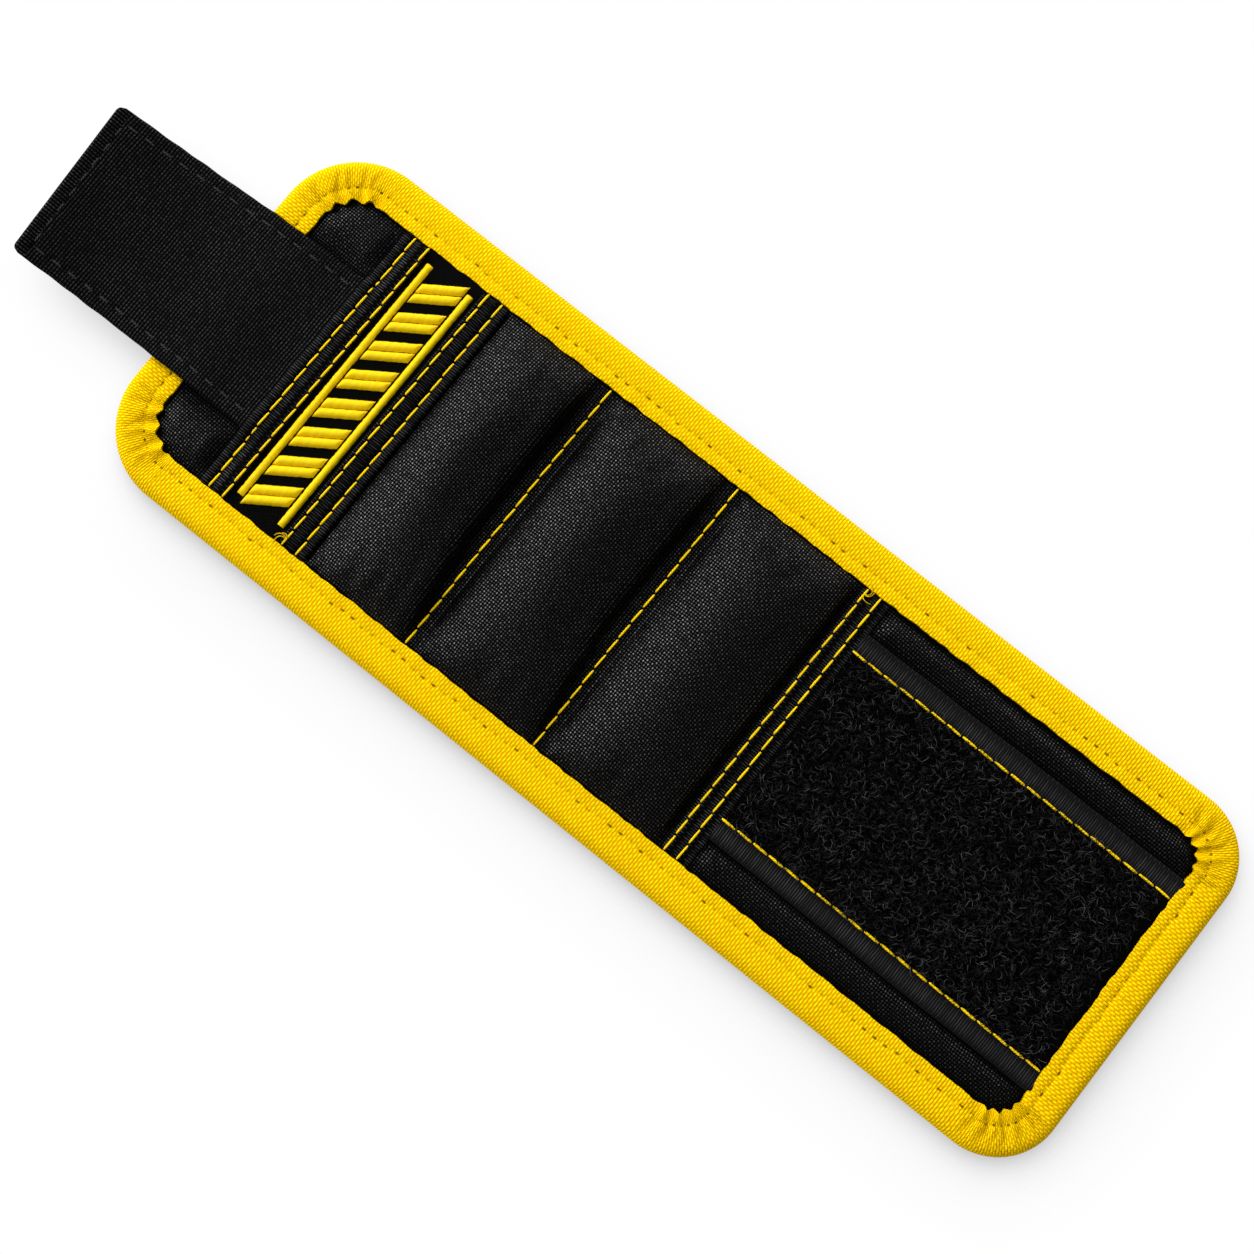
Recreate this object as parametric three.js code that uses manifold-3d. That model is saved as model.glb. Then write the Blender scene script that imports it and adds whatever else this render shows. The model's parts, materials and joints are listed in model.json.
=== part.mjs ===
// A magnetic wristband, lying flat with its wrist side down. A padded band is bound round its edge with
// folded tape. Three stuffed channels across it hold disc magnets. One end carries a label panel and the
// closing strap, and the other end carries the loop tape that the strap's hooks grip.
// Millimetres. +X runs along the band towards the loop tape, +Y across it, +Z away from the wrist.
// The origin is on the wrist side, in the middle of the centre channel.
// The band bends at five fold lines, so its continuous layers are cut there, one length to each section.

import * as THREE from "three";
import { mergeVertices } from "three/addons/utils/BufferGeometryUtils.js";
import Module from "manifold-3d";

const wasm = await Module();
wasm.setup();

// The band in plan, from the strap's end to the end of the tail
const BAND_WIDTH = 90;
const STRAP_BED = 26.25;
const CHANNEL_1_WIDTH = 27.65;
const CHANNEL_2_WIDTH = 34.9;
const CHANNEL_3_WIDTH = 33.85;
const TAIL_INNER_LENGTH = 48;
const TAIL_OUTER_LENGTH = 52;
const STRAP_END_INNER_R = 9;
const TAIL_END_INNER_R = 5;

// Clearances
const FOLD_GAP = 0.5;
const FIT_GAP = 0.3;

// The layers of the band, from the wrist up
const LINING_T = 1;
const FOAM_T = 1.8;
const SHELL_T = 0.8;

// The binding tape, folded over the edge of the layers
const BINDING_TAPE_T = 1;
const BINDING_LEG = 10;
const BINDING_LIP = 0.3;

// The stuffed channels
const POCKET_T = 0.8;
const POCKET_SEAM = 1;
const PAD_SETBACK = 1.6;
const PAD_CROWN = 2.2;
const MAGNET_R = 6;
const MAGNET_T = 2;
const MAGNET_SPACING = 3.5;
const MAGNET_END_MARGIN = 2.5;
const MAGNET_FLOOR = 0.8;

// The label panel and the seam tapes
const SEAM_TAPE_W = 7;
const SEAM_TAPE_T = 0.9;
const LABEL_WINDOW = 15.1;
const LABEL_T = 0.6;
const TAPE_COVER = 2.6;

// The loop tape on the tail
const LOOP_MARGIN = 7.2;
const LOOP_SELVAGE = 5;
const LOOP_BASE_T = 0.7;
const LOOP_PILE_T = 1.2;

// The closing strap
const STRAP_W = 42;
const STRAP_TIP_W = 39;
const STRAP_T = 1.4;
const STRAP_OVERHANG = 1.5;
const STRAP_BEND_GAP = 0.9;
const STRAP_REACH = 37;
const STRAP_CURL_R = 120;
const STRAP_TIP_CORNER_R = 3;
const HOOK_T = 1.3;
const HOOK_MARGIN = 2;
const HOOK_SETBACK = 3.5;
const SEWN_GAP = 0.1;

// How finely curves are cut
const CORNER_STEPS = 7;
const FOLD_STEPS = 8;
const MAGNET_SIDES = 24;
const CROWN_STEPS_ACROSS = 14;
const CROWN_STEPS_ALONG = 14;
const STRAP_STEPS = 10;
const MERGE = 1e-3;

// How full the channels are: a lower power gives steeper sides, a higher one a flatter top
const CROWN_SIDE_POWER = 0.55;
const CROWN_END_FLATNESS = 8;

// Levels
const bindingHeight = 2 * BINDING_TAPE_T + LINING_T + FOAM_T + SHELL_T;
const liningTop = BINDING_TAPE_T + LINING_T;
const foamTop = liningTop + FOAM_T;
const shellTop = foamTop + SHELL_T;
const pocketRise = MAGNET_FLOOR + MAGNET_T + PAD_CROWN;

// Stations along the band
const fold2 = CHANNEL_2_WIDTH / 2;
const fold1 = -fold2;
const fold0 = fold1 - CHANNEL_1_WIDTH;
const fold3 = fold2 + CHANNEL_3_WIDTH;
const fold4 = fold3 + TAIL_INNER_LENGTH;
const bandEnd = fold4 + TAIL_OUTER_LENGTH;

const innerTapeEnd = fold0 - FOLD_GAP / 2;
const innerTapeStart = innerTapeEnd - SEAM_TAPE_W;
const outerTapeEnd = innerTapeStart - LABEL_WINDOW;
const outerTapeStart = outerTapeEnd - SEAM_TAPE_W;
const bandStart = outerTapeStart - STRAP_BED;
const tailTapeStart = fold3 + FOLD_GAP / 2;
const tailTapeEnd = tailTapeStart + SEAM_TAPE_W;

// Half widths between the binding's legs, of the loop tape there, and the rounded corners outside
const sewnHalfWidth = BAND_WIDTH / 2 - BINDING_LEG - FIT_GAP;
const loopHalfWidth = sewnHalfWidth - LOOP_MARGIN;
const strapEndCornerR = STRAP_END_INNER_R + BINDING_LEG;
const tailEndCornerR = TAIL_END_INNER_R + BINDING_LEG;
const foldR = bindingHeight / 2;

const blackWeave = () => new THREE.MeshStandardMaterial({ color: 0x18191b, roughness: 0.75 });
const blackRib = () => new THREE.MeshStandardMaterial({ color: 0x121315, roughness: 0.85 });
const yellowTape = () => new THREE.MeshStandardMaterial({ color: 0xf6c60a, roughness: 0.7 });
const wristMesh = () => new THREE.MeshStandardMaterial({ color: 0x202124, roughness: 0.9 });
const foam = () => new THREE.MeshStandardMaterial({ color: 0x3c3d40, roughness: 0.95 });
const loopPile = () => new THREE.MeshStandardMaterial({ color: 0x26272a, roughness: 0.95 });
const hookNylon = () => new THREE.MeshStandardMaterial({ color: 0x1a1b1d, roughness: 0.6 });
const nickel = () => new THREE.MeshStandardMaterial({ color: 0xbfc2c6, roughness: 0.25, metalness: 1 });

function piece(name, geometry, material) {
  const mesh = new THREE.Mesh(geometry, material);
  mesh.name = name;
  return mesh;
}

// Skins closed sections that follow one another along a run. Each section holds the same number of
// [across, up] points, anticlockwise as seen looking back along the run, and place() sets them in space.
function loft(sections, place) {
  const count = sections[0].length;
  const positions = [];
  sections.forEach((section, i) => section.forEach((point) => positions.push(...place(point, i).toArray())));
  const index = [];
  for (let i = 0; i + 1 < sections.length; i++) {
    for (let j = 0; j < count; j++) {
      const a = i * count + j;
      const b = i * count + ((j + 1) % count);
      index.push(a, b, b + count, a, b + count, a + count);
    }
  }
  const last = (sections.length - 1) * count;
  for (const [a, b, c] of THREE.ShapeUtils.triangulateShape(sections[0], [])) index.push(a, c, b);
  for (const [a, b, c] of THREE.ShapeUtils.triangulateShape(sections.at(-1), [])) {
    index.push(last + a, last + b, last + c);
  }
  const geometry = new THREE.BufferGeometry();
  geometry.setAttribute("position", new THREE.Float32BufferAttribute(positions, 3));
  geometry.setIndex(index);
  geometry.computeVertexNormals();
  return geometry;
}

function toSolid(geometry) {
  const bare = geometry.clone();
  bare.deleteAttribute("normal");
  bare.deleteAttribute("uv");
  const merged = mergeVertices(bare, MERGE);
  const vertProperties = new Float32Array(merged.attributes.position.array);
  const triVerts = new Uint32Array(merged.index.array);
  return new wasm.Manifold(new wasm.Mesh({ numProp: 3, vertProperties, triVerts }));
}

function toGeometry(solid) {
  const mesh = solid.getMesh();
  const geometry = new THREE.BufferGeometry();
  geometry.setAttribute("position", new THREE.Float32BufferAttribute(mesh.vertProperties, 3));
  geometry.setIndex(Array.from(mesh.triVerts));
  geometry.computeVertexNormals();
  return geometry;
}

// A plan outline between x0 and x1, with the corners rounded at either end
function planOutline(x0, x1, halfWidth, startR = 0, endR = 0) {
  const shape = new THREE.Shape();
  shape.moveTo(x0 + startR, -halfWidth);
  shape.lineTo(x1 - endR, -halfWidth);
  if (endR > 0) shape.absarc(x1 - endR, -halfWidth + endR, endR, -Math.PI / 2, 0);
  shape.lineTo(x1, halfWidth - endR);
  if (endR > 0) shape.absarc(x1 - endR, halfWidth - endR, endR, 0, Math.PI / 2);
  shape.lineTo(x0 + startR, halfWidth);
  if (startR > 0) shape.absarc(x0 + startR, halfWidth - startR, startR, Math.PI / 2, Math.PI);
  shape.lineTo(x0, -halfWidth + startR);
  if (startR > 0) shape.absarc(x0 + startR, -halfWidth + startR, startR, Math.PI, 1.5 * Math.PI);
  return shape;
}

function plate(outline, bottom, top) {
  const options = { depth: top - bottom, bevelEnabled: false, curveSegments: CORNER_STEPS };
  return new THREE.ExtrudeGeometry(outline, options).translate(0, 0, bottom);
}

// Runs an outline of [x, z] points across the band
function acrossBand(points, width) {
  const outline = new THREE.Shape(points.map(([x, z]) => new THREE.Vector2(x, z)));
  const geometry = new THREE.ExtrudeGeometry(outline, { depth: width, bevelEnabled: false });
  return geometry.rotateX(Math.PI / 2).translate(0, width / 2, 0);
}

// The lengths of the band between its fold lines, with the corner radius at each end
const sections = {
  label: { x0: bandStart, x1: fold0 - FOLD_GAP / 2, startR: strapEndCornerR, endR: 0 },
  channel_1: { x0: fold0 + FOLD_GAP / 2, x1: fold1 - FOLD_GAP / 2, startR: 0, endR: 0 },
  channel_2: { x0: fold1 + FOLD_GAP / 2, x1: fold2 - FOLD_GAP / 2, startR: 0, endR: 0 },
  channel_3: { x0: fold2 + FOLD_GAP / 2, x1: fold3 - FOLD_GAP / 2, startR: 0, endR: 0 },
  tail_inner: { x0: fold3 + FOLD_GAP / 2, x1: fold4 - FOLD_GAP / 2, startR: 0, endR: 0 },
  tail_outer: { x0: fold4 + FOLD_GAP / 2, x1: bandEnd, startR: 0, endR: tailEndCornerR },
};

// One length of a layer, drawn in from the band's edge but not from its fold lines
function layerOutline({ x0, x1, startR, endR }, inset) {
  const start = startR > 0 ? x0 + inset : x0;
  const end = endR > 0 ? x1 - inset : x1;
  const halfWidth = BAND_WIDTH / 2 - inset;
  return planOutline(start, end, halfWidth, Math.max(startR - inset, 0), Math.max(endR - inset, 0));
}

// The shell, the foam and the lining end inside the binding, short of its round fold. The lining's middle
// stands down between the binding's legs, so that the wrist side is one level face.
function layers(name, section) {
  const inBinding = foldR + FIT_GAP;
  const insideLegs = BINDING_LEG + FIT_GAP;
  const liningFlange = toSolid(plate(layerOutline(section, inBinding), BINDING_TAPE_T, liningTop));
  const liningPad = toSolid(plate(layerOutline(section, insideLegs), 0, (BINDING_TAPE_T + liningTop) / 2));
  return [
    piece(`shell_${name}`, plate(layerOutline(section, inBinding), foamTop, shellTop), blackWeave()),
    piece(`foam_${name}`, plate(layerOutline(section, inBinding), liningTop, foamTop), foam()),
    piece(`lining_${name}`, toGeometry(liningFlange.add(liningPad)), wristMesh()),
  ];
}

// The binding's section: a tape folded round the edge, as [distance in from the edge, height] points
function bindingSection() {
  const lip = Math.min(BINDING_LIP, BINDING_TAPE_T / 3);
  const upperFace = bindingHeight - BINDING_TAPE_T;
  const outline = new THREE.Path();
  outline.moveTo(BINDING_LEG - lip, upperFace);
  outline.lineTo(BINDING_LEG, upperFace + lip);
  outline.lineTo(BINDING_LEG, bindingHeight - lip);
  outline.lineTo(BINDING_LEG - lip, bindingHeight);
  outline.lineTo(foldR, bindingHeight);
  outline.absarc(foldR, foldR, foldR, Math.PI / 2, 1.5 * Math.PI);
  outline.lineTo(BINDING_LEG - lip, 0);
  outline.lineTo(BINDING_LEG, lip);
  outline.lineTo(BINDING_LEG, BINDING_TAPE_T - lip);
  outline.lineTo(BINDING_LEG - lip, BINDING_TAPE_T);
  outline.lineTo(foldR, BINDING_TAPE_T);
  outline.absarc(foldR, foldR, foldR - BINDING_TAPE_T, 1.5 * Math.PI, Math.PI / 2, true);
  const points = outline.getPoints(FOLD_STEPS);
  return points.filter((point, i) => i === 0 || point.distanceTo(points[i - 1]) > MERGE);
}

// Runs the binding along stations on the band's edge, each with its direction inwards, anticlockwise
function bindingRun(stations) {
  const section = bindingSection();
  const place = (point, i) => {
    const { edge, inward } = stations[i];
    return new THREE.Vector3(edge.x + inward.x * point.x, edge.y + inward.y * point.x, point.y);
  };
  return loft(stations.map(() => section), place);
}

function station(x, y, inwardX, inwardY) {
  return { edge: new THREE.Vector2(x, y), inward: new THREE.Vector2(inwardX, inwardY) };
}

function cornerStations(x, y, radius, from) {
  return Array.from({ length: CORNER_STEPS + 1 }, (_, i) => {
    const angle = from + (i / CORNER_STEPS) * (Math.PI / 2);
    const [c, s] = [Math.cos(angle), Math.sin(angle)];
    return station(x + radius * c, y + radius * s, -c, -s);
  });
}

function straightBinding(name, { x0, x1 }) {
  const y = BAND_WIDTH / 2;
  return [
    piece(`binding_${name}_front`, bindingRun([station(x0, -y, 0, 1), station(x1, -y, 0, 1)]), yellowTape()),
    piece(`binding_${name}_rear`, bindingRun([station(x1, y, 0, -1), station(x0, y, 0, -1)]), yellowTape()),
  ];
}

function strapEndBinding({ x0, x1, startR }) {
  const y = BAND_WIDTH / 2;
  const stations = [
    station(x1, y, 0, -1),
    ...cornerStations(x0 + startR, y - startR, startR, Math.PI / 2),
    ...cornerStations(x0 + startR, -y + startR, startR, Math.PI),
    station(x1, -y, 0, 1),
  ];
  return piece("binding_label", bindingRun(stations), yellowTape());
}

function tailEndBinding({ x0, x1, endR }) {
  const y = BAND_WIDTH / 2;
  const stations = [
    station(x0, -y, 0, 1),
    ...cornerStations(x1 - endR, -y + endR, endR, -Math.PI / 2),
    ...cornerStations(x1 - endR, y - endR, endR, 0),
    station(x0, y, 0, -1),
  ];
  return piece("binding_tail_outer", bindingRun(stations), yellowTape());
}

// How high a channel stands inside its cover, at shares u across it and v along it from its middle
function crown(u, v) {
  const across = Math.pow(Math.max(1 - u * u, 0), CROWN_SIDE_POWER);
  const along = Math.sqrt(Math.max(1 - Math.pow(Math.abs(v), CROWN_END_FLATNESS), 0));
  return pocketRise * across * along;
}

// Stations from -1 to 1, closer together towards both ends
function easedStations(steps) {
  return Array.from({ length: steps + 1 }, (_, i) => Math.sin((i / steps - 0.5) * Math.PI));
}

// A channel's cover: a crowned sheet, sewn flat round its edge and open underneath
function pocketGeometry({ x0, x1 }) {
  const middle = (x0 + x1) / 2;
  const halfAcross = (x1 - x0) / 2 - POCKET_SEAM;
  const halfAlong = sewnHalfWidth - POCKET_SEAM;
  const across = easedStations(CROWN_STEPS_ACROSS);
  const inner = easedStations(CROWN_STEPS_ALONG).map((v) => ({ y: -v * halfAlong, v }));
  const rows = [{ y: sewnHalfWidth, v: 1 }, ...inner, { y: -sewnHalfWidth, v: 1 }];
  const outlines = rows.map(({ v }) => {
    const under = across.map((u) => new THREE.Vector2(middle + u * halfAcross, shellTop + crown(u, v)));
    const over = under.map(({ x, y }) => new THREE.Vector2(x, y + POCKET_T)).reverse();
    return [
      new THREE.Vector2(x0, shellTop),
      ...under,
      new THREE.Vector2(x1, shellTop),
      new THREE.Vector2(x1, shellTop + POCKET_T),
      ...over,
      new THREE.Vector2(x0, shellTop + POCKET_T),
    ];
  });
  return loft(outlines, (point, i) => new THREE.Vector3(point.x, rows[i].y, point.y));
}

// A channel's magnets stand in one row down its middle, as many as its pad has room for
function magnetPlaces({ x0, x1 }) {
  const pitch = 2 * MAGNET_R + MAGNET_SPACING;
  const reach = sewnHalfWidth - POCKET_SEAM - PAD_SETBACK - MAGNET_END_MARGIN - MAGNET_R;
  const count = Math.floor((2 * reach) / pitch) + 1;
  return Array.from({ length: count }, (_, i) => {
    const y = (i - (count - 1) / 2) * pitch;
    return new THREE.Vector3((x0 + x1) / 2, y, shellTop + MAGNET_FLOOR);
  });
}

function disc(radius, height) {
  const geometry = new THREE.CylinderGeometry(radius, radius, height, MAGNET_SIDES);
  return geometry.rotateX(Math.PI / 2).translate(0, 0, height / 2);
}

// The foam that fills a channel, with a round pocket in its top for each magnet
function padGeometry(section) {
  const { x0, x1 } = section;
  const middle = (x0 + x1) / 2;
  const halfAcross = (x1 - x0) / 2 - POCKET_SEAM;
  const halfAlong = sewnHalfWidth - POCKET_SEAM;
  const reachAcross = 1 - PAD_SETBACK / halfAcross;
  const reachAlong = 1 - PAD_SETBACK / halfAlong;
  const across = easedStations(CROWN_STEPS_ACROSS).map((u) => u * reachAcross);
  const rows = easedStations(CROWN_STEPS_ALONG).map((v) => -v * reachAlong);
  const outlines = rows.map((v) => {
    const over = across.map((u) => {
      return new THREE.Vector2(middle + u * halfAcross, shellTop + crown(u, v) - FIT_GAP);
    });
    const sole = [-reachAcross, reachAcross].map((u) => new THREE.Vector2(middle + u * halfAcross, shellTop));
    return [...sole, ...over.reverse()];
  });
  const block = loft(outlines, (point, i) => new THREE.Vector3(point.x, rows[i] * halfAlong, point.y));
  let solid = toSolid(block);
  for (const place of magnetPlaces(section)) {
    const pocket = disc(MAGNET_R + FIT_GAP, pocketRise).translate(place.x, place.y, place.z);
    solid = solid.subtract(toSolid(pocket));
  }
  return toGeometry(solid);
}

function channel(name) {
  const section = sections[name];
  const group = new THREE.Group();
  group.add(...layers(name, section), ...straightBinding(name, section));
  group.add(piece(`pocket_${name}`, pocketGeometry(section), blackWeave()));
  group.add(piece(`pad_${name}`, padGeometry(section), foam()));
  magnetPlaces(section).forEach((place, i) => {
    const magnet = piece(`magnet_${name}_${i + 1}`, disc(MAGNET_R, MAGNET_T), nickel());
    magnet.position.copy(place);
    group.add(magnet);
  });
  return group;
}

// A seam tape that lies on the shell from sewnX and steps up over the edge of a sheet towards coverX
function seamTape(name, sewnX, coverX, sheetT) {
  const towards = Math.sign(coverX - sewnX);
  const stepTop = coverX - towards * TAPE_COVER;
  const stepFoot = stepTop - towards * sheetT;
  const over = [
    [sewnX, shellTop],
    [stepFoot, shellTop],
    [stepTop, shellTop + sheetT],
    [coverX, shellTop + sheetT],
    [coverX, shellTop + sheetT + SEAM_TAPE_T],
    [stepTop, shellTop + sheetT + SEAM_TAPE_T],
    [stepFoot, shellTop + SEAM_TAPE_T],
    [sewnX, shellTop + SEAM_TAPE_T],
  ];
  return piece(name, acrossBand(over, 2 * sewnHalfWidth), blackRib());
}

// The label panel, tucked under a seam tape along both sides
function labelPanel() {
  const tuck = TAPE_COVER - FIT_GAP;
  const outline = planOutline(outerTapeEnd - tuck, innerTapeStart + tuck, sewnHalfWidth);
  return piece("label_panel", plate(outline, shellTop, shellTop + LABEL_T), blackWeave());
}

function labelSection() {
  const group = new THREE.Group();
  group.add(...layers("label", sections.label), strapEndBinding(sections.label));
  group.add(labelPanel());
  group.add(seamTape("seam_tape_strap", outerTapeStart, outerTapeEnd, LABEL_T));
  group.add(seamTape("seam_tape_channels", innerTapeEnd, innerTapeStart, LABEL_T));
  return group;
}

// A length of the loop tape: a woven base, and a pile that stops short of its sides
function loopTape(name, baseStart, pileStart, end) {
  const pileTop = shellTop + LOOP_BASE_T + LOOP_PILE_T;
  const base = toSolid(plate(planOutline(baseStart, end, loopHalfWidth), shellTop, shellTop + LOOP_BASE_T));
  const pileOutline = planOutline(pileStart, end, loopHalfWidth - LOOP_SELVAGE);
  const pile = toSolid(plate(pileOutline, shellTop + LOOP_BASE_T / 2, pileTop));
  return piece(name, toGeometry(base.add(pile)), loopPile());
}

function tailInner() {
  const section = sections.tail_inner;
  const group = new THREE.Group();
  group.add(...layers("tail_inner", section), ...straightBinding("tail_inner", section));
  group.add(seamTape("seam_tape_tail", tailTapeStart, tailTapeEnd, LOOP_BASE_T));
  const tuckedEnd = tailTapeEnd - TAPE_COVER + FIT_GAP;
  group.add(loopTape("loop_tape_inner", tuckedEnd, tailTapeEnd + FIT_GAP, section.x1));
  return group;
}

function tailOuter() {
  const section = sections.tail_outer;
  const group = new THREE.Group();
  group.add(...layers("tail_outer", section), tailEndBinding(section));
  group.add(loopTape("loop_tape_outer", section.x0, section.x0, bandEnd - BINDING_LEG - FIT_GAP));
  return group;
}

// The strap's root lies on the shell beside its seam tape and climbs over the binding
const strapBend = bandStart - STRAP_OVERHANG;
const strapLevel = bindingHeight + SEWN_GAP;

function strapRoot() {
  const rootEnd = outerTapeStart - FIT_GAP;
  const climbEnd = bandStart + BINDING_LEG + FIT_GAP;
  const bendFace = strapBend + STRAP_BEND_GAP / 2;
  const outline = [
    [rootEnd, shellTop],
    [rootEnd, shellTop + STRAP_T],
    [climbEnd, strapLevel + STRAP_T],
    [bendFace, strapLevel + STRAP_T],
    [bendFace, strapLevel],
    [climbEnd, strapLevel],
  ];
  return piece("strap_root_webbing", acrossBand(outline, STRAP_W), blackRib());
}

// A ribbon that follows the strap's free end between two distances from its bend. The strap curls up
// along an arc, and the ribbon's faces lie at the given heights from the middle of the webbing.
function strapRibbon(near, far, lower, upper, halfWidthAt) {
  const round = STRAP_TIP_CORNER_R;
  const step = (far - round - near) / STRAP_STEPS;
  const straight = Array.from({ length: STRAP_STEPS + 1 }, (_, i) => near + i * step);
  const corner = Array.from({ length: CORNER_STEPS }, (_, i) => {
    return far - round + round * Math.sin(((i + 1) / CORNER_STEPS) * (Math.PI / 2));
  });
  const distances = [...straight, ...corner].reverse();
  const outlines = distances.map((distance) => {
    const intoCorner = Math.max(distance - (far - round), 0);
    const cut = round - Math.sqrt(Math.max(round * round - intoCorner * intoCorner, 0));
    const half = halfWidthAt(distance) - cut;
    return [
      new THREE.Vector2(-half, lower),
      new THREE.Vector2(half, lower),
      new THREE.Vector2(half, upper),
      new THREE.Vector2(-half, upper),
    ];
  });
  const place = (point, i) => {
    const turn = distances[i] / STRAP_CURL_R;
    const reach = STRAP_CURL_R - point.y;
    const x = strapBend - reach * Math.sin(turn);
    const z = strapLevel + STRAP_T / 2 + STRAP_CURL_R - reach * Math.cos(turn);
    return new THREE.Vector3(x, point.x, z);
  };
  return loft(outlines, place);
}

function strapTip() {
  const webbingHalf = (distance) => (STRAP_W - ((STRAP_W - STRAP_TIP_W) * distance) / STRAP_REACH) / 2;
  const webbing = strapRibbon(STRAP_BEND_GAP / 2, STRAP_REACH, -STRAP_T / 2, STRAP_T / 2, webbingHalf);
  const hookHalf = (distance) => webbingHalf(distance) - HOOK_MARGIN;
  const hookTop = -STRAP_T / 2 - SEWN_GAP;
  const hooks = strapRibbon(HOOK_SETBACK, STRAP_REACH - HOOK_MARGIN, hookTop - HOOK_T, hookTop, hookHalf);
  const group = new THREE.Group();
  group.add(piece("strap_tip_webbing", webbing, blackRib()));
  group.add(piece("hook_tape", hooks, hookNylon()));
  return group;
}

const wristband = new THREE.Group();
wristband.add(labelSection());
wristband.add(channel("channel_1"), channel("channel_2"), channel("channel_3"));
wristband.add(tailInner(), tailOuter());
wristband.add(strapRoot(), strapTip());

export default wristband;
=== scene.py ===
"""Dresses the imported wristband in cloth, tape, thread and pile, and sets up the studio round it."""
import json
import math
import random

import bmesh
import bpy
from mathutils import Matrix, Vector, noise


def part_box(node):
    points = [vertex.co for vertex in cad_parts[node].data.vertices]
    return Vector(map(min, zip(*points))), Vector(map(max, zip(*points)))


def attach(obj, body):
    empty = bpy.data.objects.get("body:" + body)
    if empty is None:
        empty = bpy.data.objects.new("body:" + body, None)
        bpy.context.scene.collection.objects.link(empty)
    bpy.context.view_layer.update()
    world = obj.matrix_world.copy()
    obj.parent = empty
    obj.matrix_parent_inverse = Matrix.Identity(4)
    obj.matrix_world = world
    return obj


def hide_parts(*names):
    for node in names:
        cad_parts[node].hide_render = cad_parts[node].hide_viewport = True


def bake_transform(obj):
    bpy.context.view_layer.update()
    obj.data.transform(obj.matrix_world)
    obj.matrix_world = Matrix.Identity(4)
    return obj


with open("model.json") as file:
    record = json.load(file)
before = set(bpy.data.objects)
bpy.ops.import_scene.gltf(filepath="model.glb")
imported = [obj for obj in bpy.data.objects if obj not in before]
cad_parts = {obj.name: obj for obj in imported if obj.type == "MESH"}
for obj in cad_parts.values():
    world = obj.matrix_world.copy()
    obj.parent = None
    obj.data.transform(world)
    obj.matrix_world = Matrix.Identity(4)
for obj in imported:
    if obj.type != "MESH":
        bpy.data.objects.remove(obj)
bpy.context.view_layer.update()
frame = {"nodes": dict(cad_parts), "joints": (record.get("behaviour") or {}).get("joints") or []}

MM = 0.001
UP = Vector((0, 0, 1))
SHARP_EDGE = math.radians(50)

# Places that the CAD model gives
JOINT_AT = {joint["name"]: Vector(joint["pos_m"]) for joint in frame["joints"]}
BAND_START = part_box("binding_label")[0].x
BAND_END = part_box("binding_tail_outer")[1].x
HALF_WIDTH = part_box("binding_label")[1].y
BINDING_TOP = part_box("binding_tail_outer")[1].z
SHELL_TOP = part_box("shell_label")[1].z
LABEL_LOW, LABEL_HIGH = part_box("label_panel")
LABEL_TOP = LABEL_HIGH.z
TAPE_LOW = {name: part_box(f"seam_tape_{name}")[0] for name in ("strap", "channels", "tail")}
TAPE_HIGH = {name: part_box(f"seam_tape_{name}")[1] for name in ("strap", "channels", "tail")}
LOOP_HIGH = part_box("loop_tape_outer")[1]
POCKET_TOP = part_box("pocket_channel_2")[1].z
STRAP_ROOT_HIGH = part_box("strap_root_webbing")[1]

# Sizes of the trim
BINDING_LEG = 9.6 * MM
BINDING_FOLD_R = 2.8 * MM
BINDING_TAPE_T = 1.0 * MM
BINDING_STEP = 0.5 * MM
STRAP_END_R = 19 * MM
TAIL_END_R = 15 * MM
BODY_INSET = 4 * MM
LOOP_SELVAGE = 5 * MM
STRAP_T = 1.4 * MM
STRAP_TIP_W = 39 * MM
STRAP_CURL_R = 120 * MM
STRAP_REACH = 37 * MM
STRAP_SKEW = -2.3 * MM
STRAP_TIP_SLANT = 2.3 * MM
HEM_INSET = 3.1 * MM
STRAP_CORNER_R = 1.5 * MM
THREAD_R = 0.25 * MM
HEM_STITCH_PITCH = 4.3 * MM
STITCH_PITCH = 4.1 * MM
BINDING_STITCH_PITCH = 2.8 * MM
BINDING_STITCH_INSET = 2.9 * MM

# The five folds from the strap's end to the tail, and the stretch of cloth that bends at each
FOLDS = [
    ("fold_label", "label_section", "channel_1", -1.5 * MM, 11.5 * MM),
    ("fold_divider_1", "channel_1", "channel_2", -9 * MM, 9 * MM),
    ("fold_divider_2", "channel_2", "channel_3", -9 * MM, 9 * MM),
    ("fold_tail_seam", "channel_3", "tail_inner", -11.5 * MM, 1.5 * MM),
    ("fold_tail_middle", "tail_inner", "tail_outer", -10 * MM, 10 * MM),
]
FOLD_X = [JOINT_AT[fold[0]].x for fold in FOLDS]
LABEL_MIDDLE = (TAPE_HIGH["strap"].x + TAPE_LOW["channels"].x) / 2
TAIL_CUT = (FOLD_X[4] + BAND_END) / 2 - 5 * MM
CUTS = [
    LABEL_MIDDLE,
    (FOLD_X[0] + FOLD_X[1]) / 2,
    (FOLD_X[1] + FOLD_X[2]) / 2,
    (FOLD_X[2] + FOLD_X[3]) / 2,
    (FOLD_X[3] + FOLD_X[4]) / 2,
    TAIL_CUT,
]


def ease(share):
    """A smooth step from 0 to 1."""
    share = min(max(share, 0.0), 1.0)
    return share * share * (3 - 2 * share)


def wobble(x, y, size):
    """Smooth noise from -1 to 1 over the band, with features of about the given size."""
    return noise.noise(Vector((x / size, y / size, 0.37)))


# Node trees


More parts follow.
